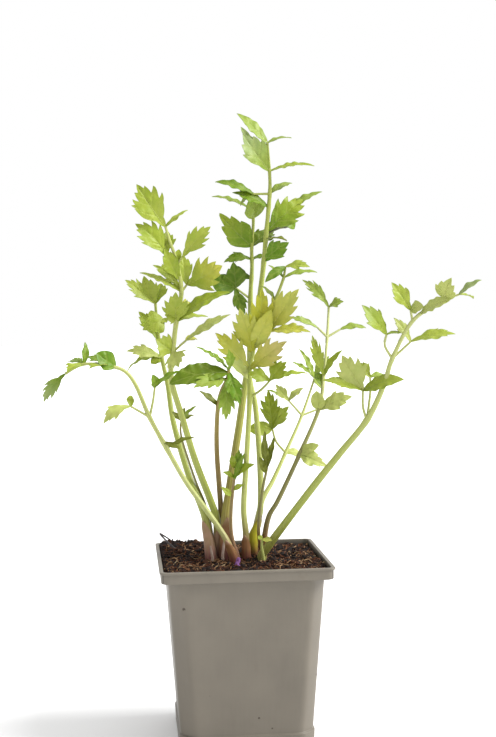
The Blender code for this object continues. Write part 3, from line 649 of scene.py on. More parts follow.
class Nodes:
    """A node tree that is built by calls."""

    def __init__(self, tree):
        self.tree = tree

    def add(self, kind, settings=None, inputs=None, output=0):
        """Adds a node: its settings, then what its sockets hold or are linked to. Returns one output."""
        made = self.tree.nodes.new(kind)
        for name, value in (settings or {}).items():
            if name == "stops":
                set_stops(made.color_ramp, value)
            else:
                setattr(made, name, value)
        for name, value in (inputs or {}).items():
            if isinstance(value, Value):
                self.tree.links.new(value.socket, made.inputs[name])
            else:
                made.inputs[name].default_value = value
        return Value(self, made.outputs[output]) if made.outputs else None

    def noise(self, where, scale, detail=3.0, roughness=0.5):
        return self.add("ShaderNodeTexNoise", None, {
            "Vector": where, "Scale": scale, "Detail": detail, "Roughness": roughness,
        })

    def ramp(self, value, *stops):
        return self.add("ShaderNodeValToRGB", {"stops": stops}, {"Fac": value})

    def mix(self, share, first, second, blend="MIX"):
        """A colour between two colours, or one blended on the other."""
        settings = {"data_type": "RGBA", "blend_type": blend}
        colours = [value if isinstance(value, Value) else (*value, 1.0) for value in (first, second)]
        return self.add("ShaderNodeMix", settings, {0: share, 6: colours[0], 7: colours[1]}, 2)

    def toned(self, colour, by):
        """A colour times another."""
        return self.mix(1.0, colour, by, "MULTIPLY")

    def attribute(self, name, output="Fac"):
        return self.add("ShaderNodeAttribute", {"attribute_name": name}, None, output)


def set_stops(ramp, stops):
    """Gives a colour ramp its stops, each a place and a colour."""
    while len(ramp.elements) < len(stops):
        ramp.elements.new(0.5)
    for element, (place, colour) in zip(ramp.elements, stops):
        element.position = place
        element.color = (*colour, 1.0)


def new_material(name):
    """An empty node material, its nodes, and the Object coordinates to build patterns on."""
    material = bpy.data.materials.new(name)
    material.use_nodes = True
    material.node_tree.nodes.clear()
    nodes = Nodes(material.node_tree)
    where = nodes.add("ShaderNodeTexCoord", None, None, "Object")
    return material, nodes, where


def finish_material(nodes, sockets, height=None, bump=0.0):
    """Adds the Principled shader with its sockets, a bump from a height, and the material output."""
    sockets = dict(sockets)
    if height is not None:
        sockets["Normal"] = nodes.add("ShaderNodeBump", None, {
            "Strength": 1.0, "Distance": bump, "Height": height,
        })
    shader = nodes.add("ShaderNodeBsdfPrincipled", None, sockets)
    nodes.add("ShaderNodeOutputMaterial", None, {"Surface": shader})


def leaf_material(slot, roughness):
    """A thin leaf: its tint, paler veins and under side, and a fine cell texture."""
    material, nodes, where = new_material(slot)
    tint = nodes.attribute("tint", "Color")
    vein = nodes.attribute("vein")
    under = nodes.attribute("under")
    rim = nodes.attribute("rim")
    patches = nodes.noise(where, 260, 3)
    cells = nodes.noise(where, 2600, 2)
    colour = nodes.mix((patches - 0.5) * 1.2 + 0.25, tint, nodes.toned(tint, (0.62, 0.78, 0.45)))
    colour = nodes.mix((cells - 0.5).clamp() * 0.3, colour, srgb(188, 196, 90))
    colour = nodes.mix(rim * 0.35, colour, nodes.toned(colour, (0.80, 0.86, 0.60)))
    colour = nodes.mix(vein * 0.24, colour, srgb(198, 206, 112))
    colour = nodes.mix(under * 0.24, colour, srgb(184, 198, 116))
    height = cells * 0.25 + patches * 0.8 - vein * 0.7
    finish_material(nodes, {
        "Base Color": colour,
        "Roughness": roughness + under * 0.14 + (cells - 0.5) * 0.2,
        "Specular IOR Level": 0.22,
    }, height, 0.00004)
    return material


def stalk_material():
    """A fresh leaf stalk: its tint, fine lengthwise lines, and faint flecks."""
    material, nodes, where = new_material("stalk")
    tint = nodes.attribute("tint", "Color")
    around = nodes.attribute("around")
    lines = around.wave("SINE", FINE_LINES)
    patches = nodes.noise(where, 330, 3)
    flecks = nodes.noise(where, 1900, 2)
    colour = nodes.mix((patches - 0.35) * 1.1, tint, nodes.toned(tint, (0.74, 0.80, 0.55)))
    colour = nodes.mix((lines * 0.5 + 0.5) * 0.22, colour, srgb(222, 222, 150))
    colour = nodes.mix((flecks > 0.68) * 0.35, colour, srgb(118, 98, 70))
    finish_material(nodes, {
        "Base Color": colour,
        "Roughness": 0.36 + patches * 0.18,
        "Specular IOR Level": 0.45,
    }, lines * 0.5 + flecks * 0.5, 0.00006)
    return material


def dry_material(slot):
    """Dry plant matter, with a light and a dark colour in lengthwise fibres."""
    material, nodes, where = new_material(slot)
    low, high = DRY_COLOURS[slot]
    fibres = nodes.noise(nodes.add("ShaderNodeMapping", None, {
        "Vector": where, "Scale": (1.0, 1.0, 0.18),
    }), 1500, 4, 0.6)
    colour = nodes.ramp(fibres, (0.32, low), (0.68, high))
    finish_material(nodes, {"Base Color": colour, "Roughness": 0.62 + fibres * 0.3}, fibres, 0.00025)
    return material


def pot_material(colour):
    """Moulded plastic with a low sheen: slight clouding, flow lines, scuffs and specks of dirt, with painted
    light near the top, painted shade towards the bottom, and painted shade on the inner wall above the soil.
    """
    material, nodes, where = new_material("pot")
    clouds = nodes.noise(where, 46, 4)
    flow = nodes.noise(nodes.add("ShaderNodeMapping", None, {
        "Vector": where, "Scale": (1.0, 1.0, 0.07),
    }), 620, 3)
    grain = nodes.noise(where, 3400, 3, 0.6)
    specks = nodes.add("ShaderNodeTexVoronoi", None, {"Vector": where, "Scale": 95.0, "Randomness": 1.0})
    rare = nodes.noise(where, 70, 2)
    dirt = (specks < 0.085) * (rare > 0.56)
    smear = ((nodes.noise(where, 130, 5, 0.65) - 0.60) * 5.0).clamp() * ((rare - 0.45) * 4.0).clamp()
    dark = tuple(0.86 * value for value in colour)
    light = tuple(min(1.0, 1.13 * value) for value in colour)
    base = nodes.mix((clouds - 0.25) * 1.6, dark, light)
    base = nodes.mix((flow - 0.5) * 0.5 + 0.12, base, light)
    # Painted light and shade: the pot's colour is lighter near the top and darker towards the bottom, as the
    # light falls.
    height = nodes.add("ShaderNodeSeparateXYZ", None, {"Vector": where}, "Z")
    rise = (height * (1 / 0.085)).clamp()
    base = nodes.mix(rise, nodes.toned(base, (0.86, 0.85, 0.84)), nodes.toned(base, (1.07, 1.07, 1.07)))
    base = nodes.mix(smear * 0.24, base, srgb(120, 104, 86))
    base = nodes.mix(dirt * 0.65, base, srgb(66, 52, 40))
    # Painted shade: the inner wall above the soil is darkened where shade falls inside the pot.
    base = nodes.mix(nodes.attribute("stain") * (0.66 + 0.3 * clouds), base, srgb(52, 46, 40))
    finish_material(nodes, {
        "Base Color": base,
        "Roughness": 0.40 + clouds * 0.12 + dirt * 0.3 + smear * 0.2,
        "Specular IOR Level": 0.36,
    }, grain * 0.5 + flow * 0.5, 0.00005)
    return material


def soil_material(settings):
    """Damp peat: near black, with brown and red-brown patches."""
    material, nodes, where = new_material("soil")
    lumps = nodes.noise(where, 520, 6, 0.65)
    fine = nodes.noise(where, 2400, 4, 0.7)
    base = nodes.ramp(
        lumps * 0.7 + fine * 0.3, (0.36, DEEPEST_CRUMB), (0.52, settings.dark), (0.70, settings.red),
    )
    finish_material(nodes, {
        "Base Color": base, "Roughness": 0.78 + fine * 0.2, "Specular IOR Level": 0.15,
    }, lumps + fine * 0.6, 0.0006)
    return material


def crumb_material(settings):
    """Crumbs, chips and fibres of the soil. Each one's own shade picks its colour."""
    material, nodes, where = new_material("soil_bits")
    shade = nodes.attribute("shade")
    fine = nodes.noise(where, 2600, 4, 0.7)
    base = nodes.ramp(
        shade, (0.0, DEEPEST_SOIL), (0.45, settings.dark), (0.74, settings.red), (0.93, settings.tan),
        (1.0, settings.pale),
    )
    base = nodes.mix((fine - 0.38) * 1.1, base, nodes.toned(base, (0.35, 0.30, 0.27)))
    finish_material(nodes, {
        "Base Color": base, "Roughness": 0.72 + fine * 0.2, "Specular IOR Level": 0.2,
    }, fine, 0.0003)
    return material


def sighted(place):
    """The point that the viewer sees at this place of the board, at its depth past the board."""
    across, up, depth = (value * MM for value in place)
    toward = Vector((-VIEWPOINT.x, -VIEWPOINT.y, 0.0))
    distance = toward.length
    toward.normalize()
    on_board = Vector((toward.y * across, -toward.x * across, up))
    return VIEWPOINT + (on_board - VIEWPOINT) * ((distance + depth) / distance)


def depth_of(point):
    """How far past the board a point lies, in millimetres."""
    toward = Vector((-VIEWPOINT.x, -VIEWPOINT.y, 0.0))
    toward.normalize()
    return point.dot(toward) / MM


def curve_point(points, station):
    """The Catmull-Rom curve through the points, read at a station. Whole numbers are the points."""
    first = min(int(station), len(points) - 2)
    share = station - first
    before = points[max(first - 1, 0)]
    start = points[first]
    end = points[first + 1]
    after = points[min(first + 2, len(points) - 1)]
    lead_out = (end - before) / 2
    lead_in = (after - start) / 2
    square = share * share
    cube = square * share
    return (
        start * (2 * cube - 3 * square + 1)
        + lead_out * (cube - 2 * square + share)
        + end * (3 * square - 2 * cube)
        + lead_in * (cube - square)
    )


def even_stations(points, step):
    """Stations along the curve through the points, about one step apart."""
    stations = []
    for number in range(len(points) - 1):
        count = max(1, round((points[number + 1] - points[number]).length / step))
        stations += [number + part / count for part in range(count)]
    return stations + [len(points) - 1.0]


def root_points(place, level):
    """The straight foot of a stalk, from its hole's bottom to the soil's surface."""
    x, y = (value * MM for value in place)
    return [Vector((x, y, level - ROOT_DEPTH)), Vector((x, y, level + 0.001))]


def smooth(low, high, value):
    """0 below low, 1 above high, and a soft step between."""
    share = min(1.0, max(0.0, (value - low) / (high - low)))
    return share * share * (3 - 2 * share)


def blend(first, second, share):
    return tuple(a + (b - a) * share for a, b in zip(first, second))


def segment_distances(points, starts, ends):
    """Each point's distance to the nearest of the segments, as an array."""
    along = ends - starts
    squares = np.maximum((along ** 2).sum(1), 1e-12)
    offset = points[:, None, :] - starts[None, :, :]
    share = np.clip((offset * along[None]).sum(2) / squares, 0, 1)
    gap = offset - share[..., None] * along[None]
    return np.sqrt((gap ** 2).sum(2)).min(1)


def inside_loop(points, loop):
    """Which points lie inside a closed outline, as an array of truths."""
    found = np.zeros(len(points), bool)
    previous = loop[-1]
    for corner in loop:
        crosses = (corner[1] > points[:, 1]) != (previous[1] > points[:, 1])
        rise = previous[1] - corner[1]
        if rise != 0:
            at = (previous[0] - corner[0]) * (points[:, 1] - corner[1]) / rise + corner[0]
            found ^= crosses & (points[:, 0] < at)
        previous = corner
    return found


def polyline_edges(count, first):
    return [(first + number, first + number + 1) for number in range(count - 1)]


def half_outline(kind, draw):
    """One side's outline, each point drawn a little off, so that no two leaflets are alike."""
    return [
        (along + draw.uniform(-0.018, 0.018), out * draw.uniform(0.90, 1.08))
        for along, out in OUTLINES[kind]
    ]


def crosses_itself(loop):
    """Whether a closed outline crosses itself."""
    starts = loop
    ends = np.roll(loop, -1, 0)

    def sides_of(first, second, points):
        run = second - first
        offset = points[None] - first[:, None]
        return np.sign(run[:, None, 0] * offset[..., 1] - run[:, None, 1] * offset[..., 0])

    apart = sides_of(starts, ends, starts) * sides_of(starts, ends, ends) < 0
    return bool((apart & apart.T).any())


def leaf_outline(spec, length, half_width, anchors, extra):
    """A leaflet's outline as a loop from its base round by its tip, and its lobes' tips on each side."""
    for detail in (1.0, 0.6, 0.3, 0.0):
        sides = {}
        tips = {}
        for hand in (-1, 1):
            toothed = detail if spec["kind"] != "lance" else 0.0
            sides[hand], tips[hand] = fine_margin(anchors[hand], length, half_width, detail, toothed, extra)
        mirrored = [point * np.array((1, -1)) for point in sides[-1][-2::-1]]
        loop = np.array([np.array((0.0, 0.0))] + sides[1] + mirrored)
        if not crosses_itself(loop):
            return loop, tips
    raise ValueError(f"the outline of the leaflet to {spec['tip']} crosses itself")


def fine_margin(anchors, length, half_width, detail, toothed, extra):
    """One side's margin in metres: the outline's corners, bulged between them, with small forward teeth."""
    base_half = BLADE_BASE_HALF_WIDTH * 0.8
    corners = [np.array((0.0, base_half))]
    corners += [np.array((t * length, s * half_width)) for t, s in anchors]
    corners.append(np.array((length, 0.0)))
    points = [corners[0]]
    tips = []
    for start, end in zip(corners, corners[1:]):
        run = end - start
        reach = np.hypot(*run)
        outward = np.array((-run[1], run[0])) / max(reach, 1e-9)
        falls = run[0] < 0.02 * length and run[1] < 0
        bulge = detail * (-0.04 * reach if falls else 0.06 * reach)
        teeth = 0 if falls or end[0] < 0.50 * length else int(reach / TOOTH_STEP)
        steps = max(2, round(reach / MARGIN_STEP))
        if teeth:
            steps = max(steps, teeth * 4)
        size = toothed * extra.uniform(*TOOTH_HEIGHTS) * MM * min(1.0, half_width / (4 * MM))
        for number in range(1, steps + 1):
            share = number / steps
            point = start + run * share + outward * bulge * 4 * share * (1 - share)
            if teeth:
                phase = (share * teeth) % 1.0
                lift = phase ** 1.4 * size * smooth(0.28, 0.45, point[0] / length)
                lift *= 1 - smooth(0.8, 1.0, share)
                if number < steps:
                    point = point + outward * lift + run / reach * lift * 0.8
            points.append(point)
        if not falls and end[0] > 0.3 * length:
            tips.append(end)
    return points, tips


def vein_lines(tips, length, hand, extra):
    """The side veins of one half, each from the midrib to a tooth, with short branches."""
    lines = []
    for tip in tips[:-1]:
        foot = max(0.03 * length, tip[0] - 0.80 * tip[1] - extra.uniform(0.06, 0.14) * length)
        start = np.array((foot, 0.0))
        end = np.array((tip[0], tip[1])) * 0.985
        middle = start + (end - start) * 0.5 + np.array((0.10, 0.06)) * (end[1])
        reach = np.hypot(*(end - start))
        steps = max(3, round(reach / (0.5 * MM)))
        main = []
        for number in range(steps + 1):
            u = number / steps
            main.append(start * (1 - u) ** 2 + middle * 2 * u * (1 - u) + end * u * u)
        lines.append((1.0, [point * np.array((1, hand)) for point in main]))
        for place in BRANCH_PLACES:
            for turn in (-1, 1):
                at = main[min(steps - 1, round(place * steps))]
                heading = math.atan2(*(end - start)[::-1]) + turn * math.radians(BRANCH_DEGREES)
                run = np.array((math.cos(heading), math.sin(heading))) * reach * (0.34 - 0.22 * place)
                lines.append((0.5, [(at + run * share) * np.array((1, hand)) for share in (0.4, 0.75, 1)]))
    return lines


class Foliage:
    """Collects the leaflets of a frond as arrays, and makes one mesh of them."""

    def __init__(self):
        self.points = []
        self.faces = []
        self.marks = {"vein": [], "under": [], "rim": []}
        self.tints = []
        self.ribs = []
        self.count = 0

    def add_sheet(self, points, triangles, loop_size, thickness, vein, rim, tint):
        """Adds a closed thin sheet round a surface whose first loop_size points are its outline in order."""
        corners = points[triangles]
        facing = np.cross(corners[:, 1] - corners[:, 0], corners[:, 2] - corners[:, 0])
        normals = np.zeros_like(points)
        for corner in range(3):
            np.add.at(normals, triangles[:, corner], facing)
        normals /= np.maximum(np.linalg.norm(normals, axis=1), 1e-12)[:, None]
        half = thickness[:, None] / 2
        size = len(points)
        upper = triangles + self.count
        lower = triangles[:, ::-1] + self.count + size
        ring = np.arange(loop_size)
        after = (ring + 1) % loop_size
        low_ring = ring + self.count + size
        low_after = after + self.count + size
        walls = np.concatenate([
            np.stack([after + self.count, ring + self.count, low_ring], 1),
            np.stack([after + self.count, low_ring, low_after], 1),
        ])
        self.points += [points + normals * half, points - normals * half]
        self.faces += [upper, lower, walls]
        self.marks["vein"] += [vein, vein]
        self.marks["under"] += [np.zeros(size), np.ones(size)]
        self.marks["rim"] += [rim, rim]
        self.tints += [tint, tint]
        self.count += 2 * size

    def mesh(self, name):
        mesh = bpy.data.meshes.new(name)
        mesh.from_pydata(np.concatenate(self.points).tolist(), [], np.concatenate(self.faces).tolist())
        for mark, values in self.marks.items():
            set_mark(mesh, mark, np.concatenate(values).astype(np.float32))
        set_tint(mesh, np.concatenate(self.tints))
        smooth_shade(mesh, LEAF_SHARP_DEGREES)
        return mesh


def mesh_of(bm, name):
    """A mesh from a finished bmesh."""
    mesh = bpy.data.meshes.new(name)
    bm.to_mesh(mesh)
    bm.free()
    return mesh


def smooth_shade(mesh, sharp_degrees):
    mesh.shade_smooth()
    mesh.set_sharp_from_angle(angle=math.radians(sharp_degrees))


def set_mark(mesh, name, values):
    """Stores a number for each point."""
    mesh.attributes.new(name, "FLOAT", "POINT").data.foreach_set("value", values)


def set_tint(mesh, colours):
    """Stores a colour for each point, in linear light."""
    layer = mesh.attributes.new("tint", "FLOAT_COLOR", "POINT")
    full = np.ones((len(colours), 4), np.float32)
    full[:, :3] = colours
    layer.data.foreach_set("color", full.ravel())


def tone_colours(tone):
    """A leaflet's colours at its base and its tip."""
    return (TONES[tone], TONES[tone]) if isinstance(tone, str) else tuple(TONES[name] for name in tone)


def grow_leaflet(foliage, base, tip, spec, draw, extra, settings):
    """A leaflet in its solid's place: toothed, veined, folded at the rib, bowed, puckered and waved."""
    length = (tip - base).length
    along = (tip - base) / length
    toward = VIEWPOINT - base
    toward.z = 0.0
    toward.normalize()
    toward.rotate(Euler((0, 0, math.radians(draw.uniform(-TURN_DEGREES, TURN_DEGREES)))))
    facing = math.radians(spec["facing"])
    normal = Vector((0, 0, math.cos(facing))) + toward * math.sin(facing)
    normal -= along * normal.dot(along)
    normal.normalize()
    across = along.cross(normal)
    half_width = spec["width"] * MM / 2
    bow = BOW[spec["kind"]] if spec["bow"] is None else spec["bow"]
    anchors = {hand: half_outline(spec["kind"], draw) for hand in (-1, 1)}
    loop, tips = leaf_outline(spec, length, half_width, anchors, extra)
    cell = settings.cell
    rib_count = max(3, round(length / cell))
    rib = np.array([(length * step / rib_count, 0.0) for step in range(1, rib_count)])
    lines = vein_lines(tips[1], length, 1, extra) + vein_lines(tips[-1], length, -1, extra)
    flat, triangles, veins = fill_leaf(loop, rib, lines, length, cell)
    x, y = flat[:, 0], flat[:, 1]
    t = x / length
    spread = np.abs(y) / half_width
    vein = vein_strength(flat, veins)
    rim = np.exp(-((segment_distances(flat, loop, np.roll(loop, -1, 0)) / RIM_REACH) ** 2))
    seed = extra.uniform(0, 90)
    lumps = np.array([noise.noise(Vector((px / LUMP_SIZE, py / LUMP_SIZE, seed))) for px, py in flat])
    wave = extra.uniform(*WAVE_LENGTHS)
    phases = {hand: extra.uniform(0, 2 * math.pi) for hand in (-1, 1)}
    phase = np.where(y < 0, phases[-1], phases[1])
    ease = np.clip(t / 0.2, 0, 1) * np.clip((1 - t) / 0.15, 0, 1)
    rise = 4 * bow * length * t * (1 - t) + FOLD * np.abs(y) * (1 - 0.35 * spread)
    rise -= settings.groove * vein
    rise += settings.pucker * lumps * (1 - vein) * ease
    rise += settings.ripple * spread ** 2 * np.sin(2 * math.pi * x / wave + phase) * ease
    rise -= extra.uniform(*DROOP) * length * np.clip(t - 0.6, 0, 1) ** 2
    twist = math.radians(extra.uniform(-TWIST_DEGREES, TWIST_DEGREES)) * t
    sway = 4 * extra.uniform(-SWAY, SWAY) * length * t * (1 - t)
    lateral = y * np.cos(twist) + sway
    rise += y * np.sin(twist)
    basis = np.array((along, across, normal))
    points = np.array(base) + np.stack([x, lateral, rise], 1) @ basis
    shades = tone_colours(spec["tone"])
    light = extra.uniform(*LIGHTNESS)
    start, end = (np.array(shade) * light for shade in shades)
    gradient = np.clip((t - 0.25) / 0.6, 0, 1)[:, None]
    tint = start + (end - start) * gradient
    thickness = settings.sheet * (0.75 + 0.5 * vein)
    foliage.add_sheet(points, triangles, len(loop), thickness, vein, rim, tint)
    steps = max(4, round(length / RIB_STEP))
    on_rib = []
    order = np.argsort(t)
    for number in range(steps + 1):
        u = -0.01 + 0.93 * number / steps
        place = base + along * (u * length) + normal * (4 * bow * length * u * (1 - u) - RIB_SINK)
        on_rib.append(place + across * float(np.interp(u, t[order], sway[order])))
    thick = min(0.00042, 0.00014 + 0.020 * half_width * 2)
    radii = [thick * (1 - 0.85 * number / steps) for number in range(steps + 1)]
    foliage.ribs.append((on_rib, radii, start * 1.12))


def fill_leaf(loop, rib, lines, length, cell):
    """Triangles that fill the outline, with points on the rib, on the veins and on a grid between."""
    vein_points = []
    segments = [(1.0, np.array((0.0, 0.0)), np.array((length, 0.0)))]
    for strength, line in lines:
        kept = [p for p in line if inside_loop(p[None], loop)[0]]
        segments += [(strength, a, b) for a, b in zip(kept, kept[1:])]
        vein_points += kept
    ends = np.roll(loop, -1, 0)
    taken = [loop, rib]
    if vein_points:
        found = np.array(vein_points)
        far = (segment_distances(found, loop, ends) > 0.22 * cell) & (np.abs(found[:, 1]) > 0.25 * cell)
        taken.append(thinned(found[far], 0.45 * cell))
    low, high = loop.min(0), loop.max(0)
    across = np.arange(low[0], high[0], cell)
    rows = np.arange(low[1], high[1], cell * 0.87)
    grid = np.array([(x + (row % 2) * cell / 2, y) for row, y in enumerate(rows) for x in across])
    grid = grid[inside_loop(grid, loop)]
    if len(grid):
        near = np.concatenate(taken[1:]) if len(taken) > 2 else rib
        spacing = np.sqrt(((grid[:, None] - near[None]) ** 2).sum(2)).min(1)
        clear = (segment_distances(grid, loop, ends) > 0.42 * cell) & (spacing > 0.55 * cell)
        taken.append(grid[clear])
    flat = np.concatenate(taken)
    size = len(loop)
    tip = int(np.argmax(loop[:, 0]))
    edges = [(number, (number + 1) % size) for number in range(size)]
    edges += [(0, size)] + polyline_edges(len(rib), size) + [(size + len(rib) - 1, tip)]
    done = delaunay_2d_cdt([Vector(point) for point in flat], edges, [], 1, 1e-7)
    placed = np.array([tuple(point) for point in done[0]])
    if len(placed) != len(flat):
        raise ValueError("a leaflet's outline crosses itself")
    triangles = np.array([face for face in done[2]])
    corners = placed[triangles]
    turn = np.cross(corners[:, 1] - corners[:, 0], corners[:, 2] - corners[:, 0])
    triangles[turn < 0] = triangles[turn < 0][:, ::-1]
    return placed, triangles[:, ::-1], segments


def thinned(points, gap):
    """The points without those that lie closer than the gap to one already kept."""
    kept = []
    for point in points:
        if all((point[0] - k[0]) ** 2 + (point[1] - k[1]) ** 2 > gap * gap for k in kept):
            kept.append(point)
    return np.array(kept).reshape(-1, 2)


def vein_strength(flat, segments):
    """How strongly a vein marks each point, from 0 to 1."""
    total = np.zeros(len(flat))
    for strength in (1.0, 0.5):
        chosen = [(a, b) for power, a, b in segments if power == strength]
        if chosen:
            starts = np.array([a for a, _ in chosen])
            ends = np.array([b for _, b in chosen])
            gap = segment_distances(flat, starts, ends)
            total = np.maximum(total, strength * np.exp(-((gap / VEIN_REACH) ** 2)))
    return total


class Stalks:
    """Collects tube paths with their radii and colours, for the stalk tree."""

    def __init__(self):
        self.points = []
        self.edges = []
        self.radii = []
        self.tints = []

    def add(self, points, radii, tints):
        first = len(self.points)
        self.points += [tuple(point) for point in points]
        self.edges += polyline_edges(len(points), first)
        self.radii += list(radii)
        self.tints += [tuple(tint) for tint in tints]

    def guide(self, name):
        """A mesh of bare edges that carries the paths."""
        mesh = bpy.data.meshes.new(name)
        mesh.from_pydata(self.points, self.edges, [])
        set_mark(mesh, "radius", self.radii)
        set_tint(mesh, np.array(self.tints))
        return new_object(name, mesh)


def new_object(name, data):
    made = bpy.data.objects.new(name, data)
    bpy.context.scene.collection.objects.link(made)
    return made


def new_tree(name, inputs):
    """An empty geometry tree with a geometry in and out, and these named inputs. Returns nodes and inputs."""
    tree = bpy.data.node_groups.new(name, "GeometryNodeTree")
    tree.interface.new_socket(name="Geometry", in_out="INPUT", socket_type="NodeSocketGeometry")
    tree.interface.new_socket(name="Geometry", in_out="OUTPUT", socket_type="NodeSocketGeometry")
    for label, kind in inputs.items():
        tree.interface.new_socket(name=label, in_out="INPUT", socket_type="NodeSocket" + kind)
    nodes = Nodes(tree)
    entry = tree.nodes.new("NodeGroupInput")
    return nodes, {socket.name: Value(nodes, socket) for socket in entry.outputs if socket.name}


def close_tree(nodes, geometry, material):
    """Ends a tree: instances made real, and the material set."""
    real = nodes.add("GeometryNodeRealizeInstances", None, {"Geometry": geometry})
    coated = nodes.add("GeometryNodeSetMaterial", None, {"Geometry": real, "Material": material})
    nodes.add("NodeGroupOutput", None, {"Geometry": coated})
    return nodes.tree


def run_tree(tree, start, values):
    """Runs a tree on an object and returns the result as a plain mesh. The object is removed."""
    modifier = start.modifiers.new(tree.name, "NODES")
    modifier.node_group = tree
    for item in tree.interface.items_tree:
        if item.in_out == "INPUT" and item.name in values:
            modifier[item.identifier] = values[item.name]
    graph = bpy.context.evaluated_depsgraph_get()
    mesh = bpy.data.meshes.new_from_object(
        start.evaluated_get(graph), preserve_all_data_layers=True, depsgraph=graph,
    )
    start.modifiers.remove(modifier)
    bpy.data.objects.remove(start, do_unlink=True)
    return mesh


def tube_tree():
    """Tubes along paths: a ribbed round profile, swept at each point's own radius."""
    nodes, given = new_tree("ribbed_tubes", {
        "Sides": "Int", "Ribs": "Float", "Rib depth": "Float", "Material": "Material",
    })
    curve = nodes.add("GeometryNodeMeshToCurve", None, {"Mesh": given["Geometry"]})
    ring = nodes.add("GeometryNodeCurvePrimitiveCircle", None, {"Resolution": given["Sides"], "Radius": 1.0})
    turn = nodes.add("GeometryNodeSplineParameter")
    ring = nodes.add("GeometryNodeStoreNamedAttribute", {"data_type": "FLOAT", "domain": "POINT"}, {
        "Geometry": ring, "Name": "around", "Value": turn,
    })
    wave = (turn * given["Ribs"]).wave("COSINE", 1)
    place = nodes.add("GeometryNodeInputPosition")
    ribbed = nodes.add("ShaderNodeVectorMath", {"operation": "SCALE"}, {
        "Vector": place, "Scale": 1.0 + wave * given["Rib depth"],
    })
    ring = nodes.add("GeometryNodeSetPosition", None, {"Geometry": ring, "Position": ribbed})
    radius = nodes.add("GeometryNodeInputNamedAttribute", {"data_type": "FLOAT"}, {"Name": "radius"})
    tubes = nodes.add("GeometryNodeCurveToMesh", None, {
        "Curve": curve, "Profile Curve": ring, "Scale": radius, "Fill Caps": True,
    })
    tubes = nodes.add("GeometryNodeSetShadeSmooth", None, {"Geometry": tubes})
    return close_tree(nodes, tubes, given["Material"])


def crumb_tree():
    """Crumbs on a surface: flattened lumps at random places, sizes and turns, each with its own shade."""
    nodes, given = new_tree("soil_crumbs", {
        "Density": "Float", "Small": "Vector", "Large": "Vector", "Detail": "Int", "Shades": "Float",
        "Seed": "Int", "Material": "Material",
    })
    points = nodes.add("GeometryNodeDistributePointsOnFaces", {"distribute_method": "RANDOM"}, {
        "Mesh": given["Geometry"], "Density": given["Density"], "Seed": given["Seed"],
    })
    shade = random_value(nodes, "FLOAT", {2: 0.0, 3: given["Shades"], 8: 3})
    points = nodes.add("GeometryNodeStoreNamedAttribute", {"data_type": "FLOAT", "domain": "POINT"}, {
        "Geometry": points, "Name": "shade", "Value": shade,
    })
    lump = nodes.add("GeometryNodeMeshIcoSphere", None, {"Radius": 1.0, "Subdivisions": given["Detail"]})
    turn = random_value(nodes, "FLOAT_VECTOR", {0: (-0.5, -0.5, 0.0), 1: (0.5, 0.5, 2 * math.pi), 8: 5})
    size = random_value(nodes, "FLOAT_VECTOR", {0: given["Small"], 1: given["Large"], 8: 7})
    lumps = nodes.add("GeometryNodeInstanceOnPoints", None, {
        "Points": points, "Instance": lump, "Rotation": turn, "Scale": size,
    })
    real = nodes.add("GeometryNodeRealizeInstances", None, {"Geometry": lumps})
    place = nodes.add("GeometryNodeInputPosition")
    rough = nodes.add("ShaderNodeTexNoise", None, {"Vector": place, "Scale": 1400.0, "Detail": 2.0}, "Color")
    push = nodes.add("ShaderNodeVectorMath", {"operation": "SUBTRACT"}, {0: rough, 1: (0.5, 0.5, 0.5)})
    push = nodes.add("ShaderNodeVectorMath", {"operation": "SCALE"}, {"Vector": push, "Scale": 0.0011})
    real = nodes.add("GeometryNodeSetPosition", None, {"Geometry": real, "Offset": push})
    return close_tree(nodes, real, given["Material"])


def random_value(nodes, kind, inputs):
    """A Random Value node of a kind, with its sockets by number."""
    output = {"FLOAT_VECTOR": 0, "FLOAT": 1}[kind]
    return nodes.add("FunctionNodeRandomValue", {"data_type": kind}, inputs, output)


def stalk_tint(spec_tones, point, light, flush):
    """A stalk's colour at a point: its upper tone, its lower one, a purple flush over the soil, and painted
    shade with dirt that darkens it at the soil.
    """
    upper, lower = (TONES[name] for name in spec_tones)
    height = point.z
    shade = blend(lower, upper, smooth(*UPPER_TONE_RISE, height))
    shade = blend(shade, TONES["blush"], flush * (1 - smooth(*BLUSH_FADE, height)))
    shade = blend(shade, TONES["wine"], flush * (1 - smooth(*WINE_FADE, height)))
    # Painted shade and dirt: the stalk is darker near the soil, where shade falls between the feet.
    dirt = DARKEST_DIRT_AND_SHADE + (1 - DARKEST_DIRT_AND_SHADE) * smooth(*DIRT_AND_SHADE_FADE, height)
    return tuple(value * light * dirt for value in shade)


def grow(stalks, foliage, path, growth, tones, flush, draw, extra, settings):
    """Grows what springs from a stalk: side stalks and leaflets."""
    for spec in growth:
        start = curve_point(path, spec["at"])
        start_depth = depth_of(start)
        if "tip" in spec:
            across, up, depth = spec["tip"]
            tip = sighted((across, up, depth + start_depth))
            grow_leaflet(foliage, start, tip, spec, draw, extra, settings)
            continue
        line = [start] + [sighted((a, u, d + start_depth)) for a, u, d in spec["points"]]
        stations = even_stations(line, SIDE_STALK_STEP)
        points = [curve_point(line, s) for s in stations]
        last = stations[-1]
        radii = [SIDE_STALK_THICKNESS * MM / 2 * (1.08 - 0.22 * s / last) for s in stations]
        stalks.add(points, radii, [stalk_tint(tones, p, 0.96, flush) for p in points])
        grow(stalks, foliage, line, spec["growth"], tones, flush, draw, extra, settings)


def joint_swell(station, growth):
    """How much a stalk swells near the stations where something springs from it."""
    return max((math.exp(-((station - item["at"]) / JOINT_REACH) ** 2) for item in growth), default=0.0)


def stalk_path(spec, points):
    """A stalk's foot in the soil, and its points above, whose lean towards or from the viewer is widened."""
    foot = root_points(spec["root"], SOIL_LEVEL)
    depth = depth_of(foot[1])
    return foot + [sighted((a, u, depth + (d - depth) * LEAN)) for a, u, d in points]


